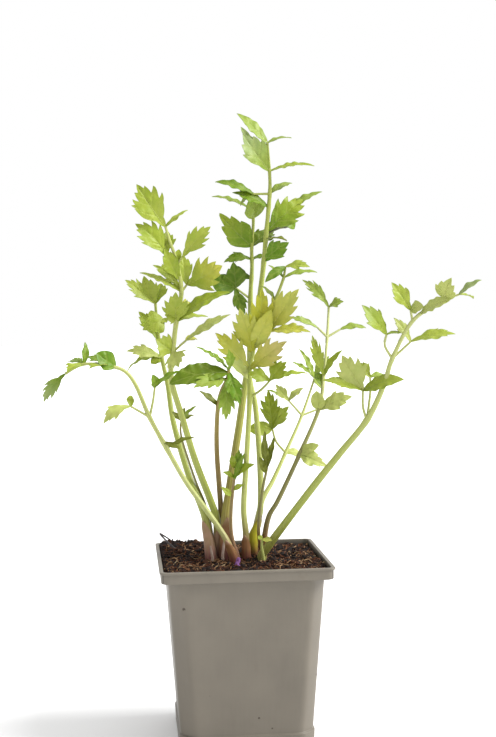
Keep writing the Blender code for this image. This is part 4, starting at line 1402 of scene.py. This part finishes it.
def grow_frond(spec, settings, tubes, materials):
    """One frond's three pieces: its stalks, its leaflets and their midribs."""
    name = spec["name"]
    path = stalk_path(spec, spec["points"])
    stations = even_stations(path, STALK_STEP)
    thick, thin = (value * MM / 2 for value in spec["thick"])
    last = stations[-1]
    radii = []
    for station in stations:
        share = max(0.0, (station - 3) / (last - 3)) if last > 3 else 0.0
        radius = thick + (thin - thick) * share
        swell = max(0.0, 1 - max(0.0, station - 1) / 1.6)
        joint = JOINT_SWELL * joint_swell(station, spec["growth"])
        radii.append(radius * (1 + (SHEATH_SWELL - 1) * swell + joint))
    stalks = Stalks()
    foliage = Foliage()
    extra = random.Random(name + " looks")
    points = [curve_point(path, s) for s in stations]
    flush = FLUSH.get(name, 1.0)
    stalks.add(points, radii, [stalk_tint(spec["tones"], p, 1.0, flush) for p in points])
    grow(stalks, foliage, path, spec["growth"], spec["tones"], flush, random.Random(name), extra, settings)
    mesh = run_tree(tubes, stalks.guide(name + "_paths"), {
        "Sides": settings.sides, "Ribs": float(settings.ribs), "Rib depth": settings.rib_depth,
        "Material": materials["stalk"],
    })
    keep_piece(name + "_stalks", mesh, spec["slot"], name)
    ribs = Stalks()
    for line, widths, tint in foliage.ribs:
        ribs.add(line, widths, [tint] * len(line))
    mesh = run_tree(tubes, ribs.guide(name + "_rib_paths"), {
        "Sides": 7, "Ribs": 1.0, "Rib depth": 0.0, "Material": materials["stalk"],
    })
    keep_piece(name + "_midribs", mesh, spec["slot"], name)
    leaves = foliage.mesh(name + "_leaflets")
    leaves.materials.append(materials[spec["slot"]])
    keep_piece(name + "_leaflets", leaves, spec["slot"], name)


def keep_piece(name, mesh, slot, *nodes):
    """Makes a finished mesh a piece that rides with the pot and stands for CAD nodes. Its slot is not used.
    """
    mesh.name = name
    made = new_object(name, mesh)
    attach(made, BODY)
    if nodes:
        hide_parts(*nodes)
    return made


def square_ring(half, cut, round_share, corner_steps, side_steps):
    """A square outline with cut or rounded corners, from the middle of the -Y side round by +X."""
    points = []
    for turn in range(4):
        angle = turn * math.pi / 2
        flat = [(-(half - cut) + 2 * (half - cut) * n / side_steps, -half) for n in range(side_steps)]
        corner = []
        for number in range(corner_steps):
            share = number / corner_steps
            straight = Vector((half - cut + cut * share, -half + cut * share))
            bend = share * math.pi / 2
            curved = Vector((half - cut + cut * math.sin(bend), -half + cut - cut * math.cos(bend)))
            corner.append(tuple(straight.lerp(curved, round_share)))
        for x, y in flat + corner:
            points.append((
                x * math.cos(angle) - y * math.sin(angle),
                x * math.sin(angle) + y * math.cos(angle),
            ))
    return points


def softened_ring(half, cut, round_share):
    """The square outline again with its corners' edges eased, as a moulding has them."""
    ring = np.array(square_ring(half, cut, round_share, POT_CORNER_STEPS, POT_SIDE_STEPS))
    for _ in range(2):
        ring = 0.25 * np.roll(ring, 1, 0) + 0.5 * ring + 0.25 * np.roll(ring, -1, 0)
    return ring


def loft(name, rings, filled=True):
    """A mesh through rings of equal count. Filled, its first and last ring close it."""
    bm = bmesh.new()
    made = [[bm.verts.new(point) for point in ring] for ring in rings]
    count = len(made[0])
    for lower, upper in zip(made, made[1:]):
        for number in range(count):
            after = (number + 1) % count
            bm.faces.new((lower[number], lower[after], upper[after], upper[number]))
    if filled:
        bm.faces.new(made[0])
        bm.faces.new(made[-1])
        bmesh.ops.recalc_face_normals(bm, faces=bm.faces)
    return mesh_of(bm, name)


def body_half(z):
    """Half the pot body's outer side at a height."""
    rise = (BODY_TOP_SIDE - BODY_FOOT_SIDE) / (POT_HEIGHT - BAND_HEIGHT - FOOT_HEIGHT)
    return (BODY_FOOT_SIDE + rise * (z - FOOT_HEIGHT)) / 2


def rounded_profile(corners):
    """A profile's corners turned to short arcs. Each is (half, height, cut, share round, radius)."""
    made = [corners[0][:4]]
    for before, here, after in zip(corners, corners[1:], corners[2:]):
        spot = np.array(here[:4])
        ease = []
        for other in (before, after):
            run = np.array(other[:4]) - spot
            reach = np.hypot(run[0], run[1])
            ease.append(spot + run * min(0.45, here[4] / max(reach, 1e-9)))
        for u in (0, 0.25, 0.5, 0.75, 1):
            made.append(tuple(ease[0] * (1 - u) ** 2 + spot * 2 * u * (1 - u) + ease[1] * u * u))
    made.append(corners[-1][:4])
    return made


def build_pot(settings):
    """The nursery pot: tapered body with cut corners, plain foot, rim band with a lip, and drain holes."""
    band_low = POT_HEIGHT - BAND_HEIGHT
    lip_low = POT_HEIGHT - LIP_HEIGHT
    rim_half = RIM_SIDE / 2
    band_half = rim_half - LIP_PROUD
    inner_top = rim_half - LIP_PROUD - WALL
    foot_half = body_half(FOOT_HEIGHT) + FOOT_PROUD
    profile = rounded_profile((
        (foot_half - 3 * EASE, 0.0, *CUT, 0.0),
        (foot_half - EASE, 0.0, *CUT, EASE),
        (foot_half, FOOT_HEIGHT - GAP, *CUT, EASE),
        (body_half(FOOT_HEIGHT), FOOT_HEIGHT, *CUT, EASE),
        (body_half(band_low), band_low, *CUT, EASE),
        (band_half, band_low, *ROUND, BAND_EASE),
        (band_half, lip_low, *ROUND, EASE),
        (rim_half, lip_low + LIP_SLOPE, *ROUND, EASE),
        (rim_half, POT_HEIGHT, *ROUND, LIP_EASE),
        (inner_top, POT_HEIGHT, *INNER_ROUND, EASE),
        (inner_top, band_low + LEDGE_RISE, *INNER_ROUND, EASE),
        (body_half(band_low) - WALL, band_low + LEDGE_LOW, *INNER_CUT, EASE),
        (body_half(FLOOR) - WALL, FLOOR, *INNER_CUT, EASE),
        (body_half(FLOOR) - WALL - FLOOR_INSET, FLOOR, *INNER_CUT, EASE),
    ))
    rings = [
        [(x, y, z) for x, y in softened_ring(half, cut, share)]
        for half, z, cut, share in profile
    ]
    pot = new_object("pot_shell", loft("pot_shell", rings))
    cutters = bpy.data.collections.new("drain_cutters")
    bpy.context.scene.collection.children.link(cutters)
    for x in (-DRAIN_PLACE, DRAIN_PLACE):
        for y in (-DRAIN_PLACE, DRAIN_PLACE):
            bm = bmesh.new()
            bmesh.ops.create_cone(
                bm, cap_ends=True, segments=28, radius1=DRAIN_RADIUS, radius2=DRAIN_RADIUS, depth=4 * FLOOR,
                matrix=Matrix.Translation((x, y, FLOOR / 2)),
            )
            cutters.objects.link(bpy.data.objects.new("drain_cutter", mesh_of(bm, "drain_cutter")))
    cut = pot.modifiers.new("Drains", "BOOLEAN")
    cut.operation = "DIFFERENCE"
    cut.operand_type = "COLLECTION"
    cut.collection = cutters
    cut.solver = "EXACT"
    graph = bpy.context.evaluated_depsgraph_get()
    mesh = bpy.data.meshes.new_from_object(pot.evaluated_get(graph))
    bpy.data.objects.remove(pot, do_unlink=True)
    for found in list(cutters.objects):
        bpy.data.objects.remove(found, do_unlink=True)
    bpy.data.collections.remove(cutters)
    smooth_shade(mesh, POT_SHARP_DEGREES)
    # Marks the inner wall between the band and the rim for its painted shade.
    set_mark(mesh, "stain", [
        float(
            max(abs(point.co.x), abs(point.co.y)) < inner_top + EASE
            and band_low + EASE < point.co.z < POT_HEIGHT - INNER_SHADE_BELOW_RIM
        )
        for point in mesh.vertices
    ])
    mesh.materials.clear()
    mesh.materials.append(pot_material(tuple(settings.colour)))
    keep_piece("nursery_pot", mesh, "pot", "pot")


def soil_height(x, y):
    """The soil's surface: a mound behind on the left, a hollow behind on the right, and lumps."""
    reach = RIM_SIDE / 2
    across, back = x / reach, y / reach
    mound = 0.0034 * math.exp(-((across + 0.75) ** 2 + (back - 0.75) ** 2) / 0.35)
    hollow = -0.0010 * math.exp(-((across - 0.7) ** 2 + (back - 0.7) ** 2) / 0.5)
    crown = 0.0012 * math.exp(-(across ** 2 + back ** 2) / 0.12)
    lumps = SOIL_LUMP * noise.noise(Vector((x / 0.0075, y / 0.0075, SOIL_SEED)))
    return SOIL_LEVEL + mound + hollow + crown + lumps


def crumbled_height(x, y):
    """The soil's surface with its finer crumbs."""
    crumbs = 0.0
    size = 0.0013
    for reach in (0.0042, 0.0021, 0.0010):
        crumbs += size * noise.noise(Vector((x / reach, y / reach, 9.1)))
        size *= 0.62
    return soil_height(x, y) + crumbs


LEDGE = POT_HEIGHT - BAND_HEIGHT + LEDGE_RISE + 2 * GAP
SOIL_HALF = RIM_SIDE / 2 - LIP_PROUD - WALL - 2 * GAP


def soil_rings(top_half, count, corner_steps, side_steps):
    """Rings of the soil's surface, from the pot's wall to near the middle."""
    rings = []
    for step in range(count):
        scale = 1 - step / (count + 0.5)
        ring = square_ring(top_half * scale, RIM_CORNER * scale, 1.0, corner_steps, side_steps)
        drop = 0.0004 if step == 0 else 0.0
        rings.append([(x, y, max(LEDGE + 0.0004, crumbled_height(x, y) - drop)) for x, y in ring])
    return rings


def build_soil(settings):
    """The potting soil: one closed body in the pot, with a crumbled surface that covers the pot's ledge."""
    band_low = POT_HEIGHT - BAND_HEIGHT
    low = FLOOR + GAP
    walls = (
        (body_half(low) - WALL - GAP, low, *CUT),
        (body_half(band_low) - WALL - GAP - 0.0002, band_low + LEDGE_LOW + GAP, *CUT),
        (SOIL_HALF, LEDGE, *ROUND),
    )
    rings = []
    for half, z, cut, round_share in walls:
        rings.append([(x, y, z) for x, y in square_ring(half, cut, round_share, 6, 34)])
    rings += soil_rings(SOIL_HALF, 60, 6, 34)
    mesh = loft("soil_bed", rings)
    mesh.shade_smooth()
    mesh.materials.append(soil_material(settings))
    keep_piece("soil_bed", mesh, "soil", "soil")


def soil_surface():
    """A bare copy of the soil's surface that bits are strewn on."""
    rings = soil_rings(SOIL_HALF - 0.0008, 28, 3, 16)
    return new_object("strewn_surface", loft("strewn_surface", rings, False))


def build_soil_bits(settings):
    """Crumbs, bark chips and fibres that lie on the soil."""
    material = crumb_material(settings)
    tree = crumb_tree()
    kinds = {
        "soil_crumbs": (settings.crumbs, (0.22, 0.22, 0.18), (0.85, 0.75, 0.60), 1, 0.88, 11),
        "soil_lumps": (settings.lumps, (0.8, 0.7, 0.5), (2.5, 1.9, 1.4), 2, 0.60, 12),
        "bark_chips": (settings.chips, (0.9, 0.20, 0.14), (3.2, 0.8, 0.40), 2, 1.0, 13),
    }
    for name, (density, small, large, detail, shades, seed) in kinds.items():
        mesh = run_tree(tree, soil_surface(), {
            "Density": density * 1e6, "Small": [v * MM for v in small], "Large": [v * MM for v in large],
            "Detail": detail, "Shades": shades, "Seed": seed, "Material": material,
        })
        keep_piece(name, mesh, "soil")
    draw = random.Random("fibres")
    paths = Stalks()
    reach = SOIL_HALF - 0.002
    for _ in range(settings.fibres):
        x, y = (draw.uniform(-reach, reach) for _ in range(2))
        heading = draw.uniform(0, 2 * math.pi)
        shade = draw.choice((0.55, 0.72, 0.86, 0.94))
        line = []
        step = draw.uniform(0.0007, 0.0016)
        for number in range(6):
            lift = 0.0003 + 0.0009 * math.sin(math.pi * number / 5) * draw.random()
            line.append(Vector((x, y, crumbled_height(x, y) + lift)))
            heading += draw.uniform(-0.7, 0.7)
            x = max(-reach, min(reach, x + step * math.cos(heading)))
            y = max(-reach, min(reach, y + step * math.sin(heading)))
        width = draw.uniform(0.00010, 0.00026)
        paths.add(line, [width * f for f in (0.6, 1, 1, 1, 0.8, 0.4)], [(shade,) * 3] * 6)
    for thick, shade, places in LOOSE_BITS:
        spots = [Vector((a * MM, b * MM, crumbled_height(a * MM, b * MM) + 0.0010)) for a, b in places]
        line = [curve_point(spots, s / 4) for s in range(4 * len(spots) - 3)]
        paths.add(line, [thick * MM / 2] * (len(line) - 1) + [thick * MM / 5], [(shade,) * 3] * len(line))
    guide = paths.guide("fibre_paths")
    set_mark(guide.data, "shade", [tint[0] for tint in paths.tints])
    mesh = run_tree(tube_tree(), guide, {"Sides": 5, "Ribs": 1.0, "Rib depth": 0.0, "Material": material})
    keep_piece("soil_fibres", mesh, "soil")


def build_dry_bits():
    """The dry twig, the two dry stalks and the violet bud, ribbed and with broken tips."""
    tree = tube_tree()
    made = {}
    for name, (thick, places, slot, tip_share) in DRY_BITS.items():
        if slot not in made:
            made[slot] = dry_material(slot)
        path = root_points(places[0][:2], SOIL_LEVEL) + [Vector(place) * MM for place in places]
        stations = even_stations(path, 0.6 * MM)
        last = stations[-1]
        draw = random.Random(name)
        radii = []
        for station in stations:
            share = max(0.0, station - 1) / (last - 1)
            radii.append(thick * MM / 2 * (1 + (tip_share - 1) * share) * draw.uniform(0.93, 1.05))
        bits = Stalks()
        bits.add([curve_point(path, s) for s in stations], radii, [(0.5, 0.5, 0.5)] * len(stations))
        mesh = run_tree(tree, bits.guide(name + "_path"), {
            "Sides": 18, "Ribs": 6.0, "Rib depth": 0.10, "Material": made[slot],
        })
        keep_piece(name + "_fine", mesh, slot, name)


def build_sheaths():
    """The thin sheath that wraps the foot of each larger stalk, pale at its free edge."""
    foliage = Foliage()
    for spec in FRONDS:
        if spec["name"] not in SHEATHS:
            continue
        path = stalk_path(spec, spec["points"][:3])
        add_sheath(foliage, path, spec["thick"][0] * MM / 2, *SHEATHS[spec["name"]])
    mesh = foliage.mesh("sheaths")
    mesh.materials.append(leaf_material("leaf_olive_sheath", 0.45))
    keep_piece("sheaths", mesh, "leaf_olive")


def point_above(path, climb):
    """The point of a stalk that lies this far above the soil, measured straight up."""
    level = path[1].z + climb
    station = 1.0
    while station < len(path) - 1.01 and curve_point(path, station).z < level:
        station += 0.02
    return curve_point(path, station)


def add_sheath(foliage, path, radius, tall, closed_side, *tones):
    """One sheath: a strip round the stalk that narrows as it climbs, with a tip that stands off the stalk."""
    rows = 18
    columns = 12
    faces_way = math.radians(closed_side)
    points = []
    shares = []
    for row in range(rows + 1):
        climb = row / rows
        centre = point_above(path, climb * tall * MM)
        half_turn = math.radians(SHEATH_HALF_TURN) * (1 - climb ** 1.8) + math.radians(5)
        loose = radius * SHEATH_SWELL * (1.13 - 0.16 * climb) + 0.0010 * climb ** 3
        for column in range(columns + 1):
            turn = -1 + 2 * column / columns
            angle = faces_way + half_turn * turn
            flare = loose + 0.0006 * abs(turn) ** 3 * (1 - climb) - 0.0004 * abs(turn) ** 2 * climb
            points.append(centre + Vector((math.cos(angle) * flare, math.sin(angle) * flare, 0)))
            shares.append((climb, abs(turn)))
    points = np.array([tuple(point) for point in points])
    wide = columns + 1
    loop = list(range(wide))
    loop += [row * wide + columns for row in range(1, rows + 1)]
    loop += [rows * wide + column for column in range(columns - 1, -1, -1)]
    loop += [row * wide for row in range(rows - 1, 0, -1)]
    rest = [number for number in range(len(points)) if number not in set(loop)]
    order = loop + rest
    place = {number: spot for spot, number in enumerate(order)}
    triangles = []
    for row in range(rows):
        for column in range(columns):
            corner = row * wide + column
            a, b, c, d = corner, corner + 1, corner + 1 + wide, corner + wide
            triangles += [(place[a], place[b], place[c]), (place[a], place[c], place[d])]
    shares = np.array(shares)[order]
    climb, edge = shares[:, 0], shares[:, 1]
    low, middle, high = (np.array(TONES[name]) for name in tones)
    rise = np.clip(climb / 0.45 + 0.3 * edge ** 4, 0, 1)[:, None]
    end = np.clip((climb - 0.78) / 0.16, 0, 1)[:, None]
    tint = low + (middle - low) * rise
    tint = tint + (high - tint) * end
    # Painted shade and dirt: the sheath is darker at its foot near the soil.
    tint *= (DARKEST_DIRT_AND_SHADE + (1 - DARKEST_DIRT_AND_SHADE) * np.clip(climb * tall / 6, 0, 1))[:, None]
    vein = 0.5 + 0.5 * np.cos(edge * 22)
    size = len(order)
    foliage.add_sheet(
        points[order], np.array(triangles), len(loop), np.full(size, 0.0003), vein * 0.4, edge ** 6, tint,
    )


def build_stage(settings):
    """The pale floor, the soft studio light and the camera at the photograph's viewing angle."""
    bm = bmesh.new()
    bmesh.ops.create_grid(bm, x_segments=8, y_segments=8, size=settings.floor_size / 2)
    mesh = mesh_of(bm, "studio_floor")
    material, nodes, where = new_material("studio_floor")
    cloud = nodes.noise(where, 3.0, 2)
    base = nodes.mix(cloud, tuple(settings.floor_colour), tuple(0.97 * v for v in settings.floor_colour))
    finish_material(nodes, {"Base Color": base, "Roughness": 0.7})
    mesh.materials.append(material)
    new_object("studio_floor", mesh)
    world = bpy.data.worlds.new("studio")
    world.use_nodes = True
    world.node_tree.nodes.clear()
    sky = Nodes(world.node_tree)
    glow = sky.add("ShaderNodeBackground", None, {"Color": (1, 1, 1, 1), "Strength": settings.surround})
    sky.add("ShaderNodeOutputWorld", None, {"Surface": glow})
    bpy.context.scene.world = world
    light = bpy.data.lights.new("key", "SUN")
    light.angle = settings.key_softness
    light.energy = settings.key
    made = new_object("key", light)
    made.location = settings.key_direction
    made.rotation_euler = Vector(settings.key_direction).to_track_quat("Z", "Y").to_euler()
    camera = bpy.data.cameras.new("camera")
    camera.sensor_width = SENSOR
    camera.lens = FOCAL_PIXELS / FRAME_TALL * SENSOR
    camera.clip_start = 0.01
    made = new_object("camera", camera)
    made.matrix_world = camera_matrix()
    bpy.context.scene.camera = made
    bpy.context.scene.view_settings.view_transform = "Standard"


def camera_matrix():
    """The camera's place and turn, from its yaw, pitch and roll."""
    ahead = Vector((math.sin(CAMERA_YAW), math.cos(CAMERA_YAW), 0.0))
    right = Vector((math.cos(CAMERA_YAW), -math.sin(CAMERA_YAW), 0.0))
    up = Vector((0.0, 0.0, 1.0))
    forward = ahead * math.cos(CAMERA_PITCH) + up * math.sin(CAMERA_PITCH)
    upward = up * math.cos(CAMERA_PITCH) - ahead * math.sin(CAMERA_PITCH)
    rolled = right * math.cos(CAMERA_ROLL) + upward * math.sin(CAMERA_ROLL)
    crown = upward * math.cos(CAMERA_ROLL) - right * math.sin(CAMERA_ROLL)
    turned = Matrix((rolled, crown, -forward)).transposed().to_4x4()
    return Matrix.Translation(VIEWPOINT) @ turned


class LovageLeafSettings(bpy.types.PropertyGroup):
    """Sizes of the leaflets and stalks."""

    cell: FloatProperty(
        name="Cell", description="Distance between points of a leaflet's surface", default=0.00062,
        min=0.0003, max=0.002, precision=5, unit="LENGTH",
    )
    sheet: FloatProperty(
        name="Leaf thickness", description="Thickness of a leaflet", default=0.00026, min=0.0001, max=0.001,
        precision=5, unit="LENGTH",
    )
    groove: FloatProperty(
        name="Vein depth", description="How deep the veins lie in the upper face", default=0.00016,
        min=0.0, max=0.001, precision=5, unit="LENGTH",
    )
    pucker: FloatProperty(
        name="Pucker", description="How far the leaf bulges between its veins", default=0.00042,
        min=0.0, max=0.002, precision=5, unit="LENGTH",
    )
    ripple: FloatProperty(
        name="Ripple", description="How far the margin waves", default=0.00042, min=0.0, max=0.002,
        precision=5, unit="LENGTH",
    )
    sides: IntProperty(name="Stalk sides", description="Points round a stalk", default=20, min=6, max=48)
    ribs: IntProperty(name="Stalk ribs", description="Ribs round a stalk", default=7, min=1, max=16)
    rib_depth: FloatProperty(
        name="Rib depth", description="Depth of a stalk's ribs as a share of its radius", default=0.055,
        min=0.0, max=0.3, subtype="FACTOR",
    )


class LovagePotSettings(bpy.types.PropertyGroup):
    """The pot's finish."""

    colour: FloatVectorProperty(
        name="Plastic", description="Colour of the pot's plastic", subtype="COLOR", size=3, min=0.0, max=1.0,
        default=srgb(139, 132, 120),
    )


class LovageSoilSettings(bpy.types.PropertyGroup):
    """Colours of the soil, and how much lies on it."""

    dark: FloatVectorProperty(
        name="Peat", description="Colour of the damp peat", subtype="COLOR", size=3, min=0.0, max=1.0,
        default=srgb(60, 43, 33),
    )
    red: FloatVectorProperty(
        name="Bark", description="Colour of the red-brown bark", subtype="COLOR", size=3, min=0.0, max=1.0,
        default=srgb(124, 80, 58),
    )
    tan: FloatVectorProperty(
        name="Fibre", description="Colour of the dry fibres", subtype="COLOR", size=3, min=0.0, max=1.0,
        default=srgb(178, 142, 106),
    )
    pale: FloatVectorProperty(
        name="Chips", description="Colour of the palest chips", subtype="COLOR", size=3, min=0.0, max=1.0,
        default=srgb(216, 190, 152),
    )
    crumbs: FloatProperty(
        name="Crumbs", description="Small crumbs on each square millimetre", default=0.55, min=0.0, max=2.0,
    )
    lumps: FloatProperty(
        name="Lumps", description="Larger lumps on each square millimetre", default=0.05, min=0.0, max=1.0,
    )
    chips: FloatProperty(
        name="Chips", description="Bark chips on each square millimetre", default=0.14, min=0.0, max=1.0,
    )
    fibres: IntProperty(name="Fibres", description="How many fibres lie about", default=420, min=0, max=2000)


class LovageStageSettings(bpy.types.PropertyGroup):
    """The floor and the light."""

    floor_size: FloatProperty(
        name="Floor", description="Side of the square floor", default=24.0, min=1.0, max=60.0, unit="LENGTH",
    )
    floor_colour: FloatVectorProperty(
        name="Floor colour", description="Colour of the floor", subtype="COLOR", size=3, min=0.0, max=1.0,
        default=(0.86, 0.86, 0.86),
    )
    surround: FloatProperty(
        name="Surround", description="Brightness of the white surround", default=1.0, min=0.0, max=4.0,
    )
    key: FloatProperty(name="Key", description="Strength of the light on the right", default=5.7, min=0.0)
    key_direction: FloatVectorProperty(
        name="Key direction", description="Where the key light comes from", subtype="DIRECTION", size=3,
        default=(1.0, -0.20, 0.86),
    )
    key_softness: FloatProperty(
        name="Key softness", description="How wide the key light looks", default=math.radians(32), min=0.0,
        max=math.pi, subtype="ANGLE",
    )


class LOVAGE_OT_stage(bpy.types.Operator):
    """Lay the floor, and set the light and the camera"""

    bl_idname = "lovage.stage"
    bl_label = "Stage"

    def execute(self, context):
        build_stage(context.scene.lovage_stage)
        return {"FINISHED"}


class LOVAGE_OT_pot(bpy.types.Operator):
    """Mould the nursery pot"""

    bl_idname = "lovage.pot"
    bl_label = "Pot"

    def execute(self, context):
        build_pot(context.scene.lovage_pot)
        return {"FINISHED"}


class LOVAGE_OT_soil(bpy.types.Operator):
    """Fill the pot with soil"""

    bl_idname = "lovage.soil"
    bl_label = "Soil"

    def execute(self, context):
        build_soil(context.scene.lovage_soil)
        return {"FINISHED"}


class LOVAGE_OT_soil_bits(bpy.types.Operator):
    """Strew crumbs, chips and fibres on the soil"""

    bl_idname = "lovage.soil_bits"
    bl_label = "Crumbs and fibres"

    def execute(self, context):
        build_soil_bits(context.scene.lovage_soil)
        return {"FINISHED"}


class LOVAGE_OT_fronds(bpy.types.Operator):
    """Grow every frond: its stalks, midribs and leaflets"""

    bl_idname = "lovage.fronds"
    bl_label = "Fronds"

    def execute(self, context):
        settings = context.scene.lovage_leaf
        tubes = tube_tree()
        materials = {"stalk": stalk_material()}
        for spec in FRONDS:
            if spec["slot"] not in materials:
                materials[spec["slot"]] = leaf_material(spec["slot"], 0.48)
            grow_frond(spec, settings, tubes, materials)
        return {"FINISHED"}


class LOVAGE_OT_sheaths(bpy.types.Operator):
    """Wrap the feet of the larger stalks in their sheaths"""

    bl_idname = "lovage.sheaths"
    bl_label = "Sheaths"

    def execute(self, context):
        build_sheaths()
        return {"FINISHED"}


class LOVAGE_OT_dry_bits(bpy.types.Operator):
    """Stand the twig, the dry stalks and the bud in the soil"""

    bl_idname = "lovage.dry_bits"
    bl_label = "Dry bits"

    def execute(self, context):
        build_dry_bits()
        return {"FINISHED"}


OPERATORS = (
    LOVAGE_OT_stage, LOVAGE_OT_pot, LOVAGE_OT_soil, LOVAGE_OT_soil_bits, LOVAGE_OT_fronds, LOVAGE_OT_sheaths,
    LOVAGE_OT_dry_bits,
)
SETTINGS = {
    "lovage_leaf": LovageLeafSettings,
    "lovage_pot": LovagePotSettings,
    "lovage_soil": LovageSoilSettings,
    "lovage_stage": LovageStageSettings,
}


class LOVAGE_PT_panel(bpy.types.Panel):
    """Lists the settings and the steps"""

    bl_idname = "LOVAGE_PT_panel"
    bl_label = "Potted Lovage"
    bl_space_type = "VIEW_3D"
    bl_region_type = "UI"
    bl_category = "Lovage"

    def draw(self, context):
        for name, group in SETTINGS.items():
            box = self.layout.box()
            box.label(text=group.__doc__)
            for label in group.__annotations__:
                box.prop(getattr(context.scene, name), label)
        for operator in OPERATORS:
            self.layout.operator(operator.bl_idname)


def register():
    for group in SETTINGS.values():
        bpy.utils.register_class(group)
    for name, group in SETTINGS.items():
        setattr(bpy.types.Scene, name, PointerProperty(type=group))
    for operator in OPERATORS:
        bpy.utils.register_class(operator)
    bpy.utils.register_class(LOVAGE_PT_panel)


def unregister():
    bpy.utils.unregister_class(LOVAGE_PT_panel)
    for operator in reversed(OPERATORS):
        bpy.utils.unregister_class(operator)
    for name, group in reversed(SETTINGS.items()):
        delattr(bpy.types.Scene, name)
        bpy.utils.unregister_class(group)


def main():
    register()
    bpy.ops.lovage.stage()
    bpy.ops.lovage.pot()
    bpy.ops.lovage.soil()
    bpy.ops.lovage.soil_bits()
    bpy.ops.lovage.fronds()
    bpy.ops.lovage.sheaths()
    bpy.ops.lovage.dry_bits()
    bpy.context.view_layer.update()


if __name__ == "__main__":
    main()
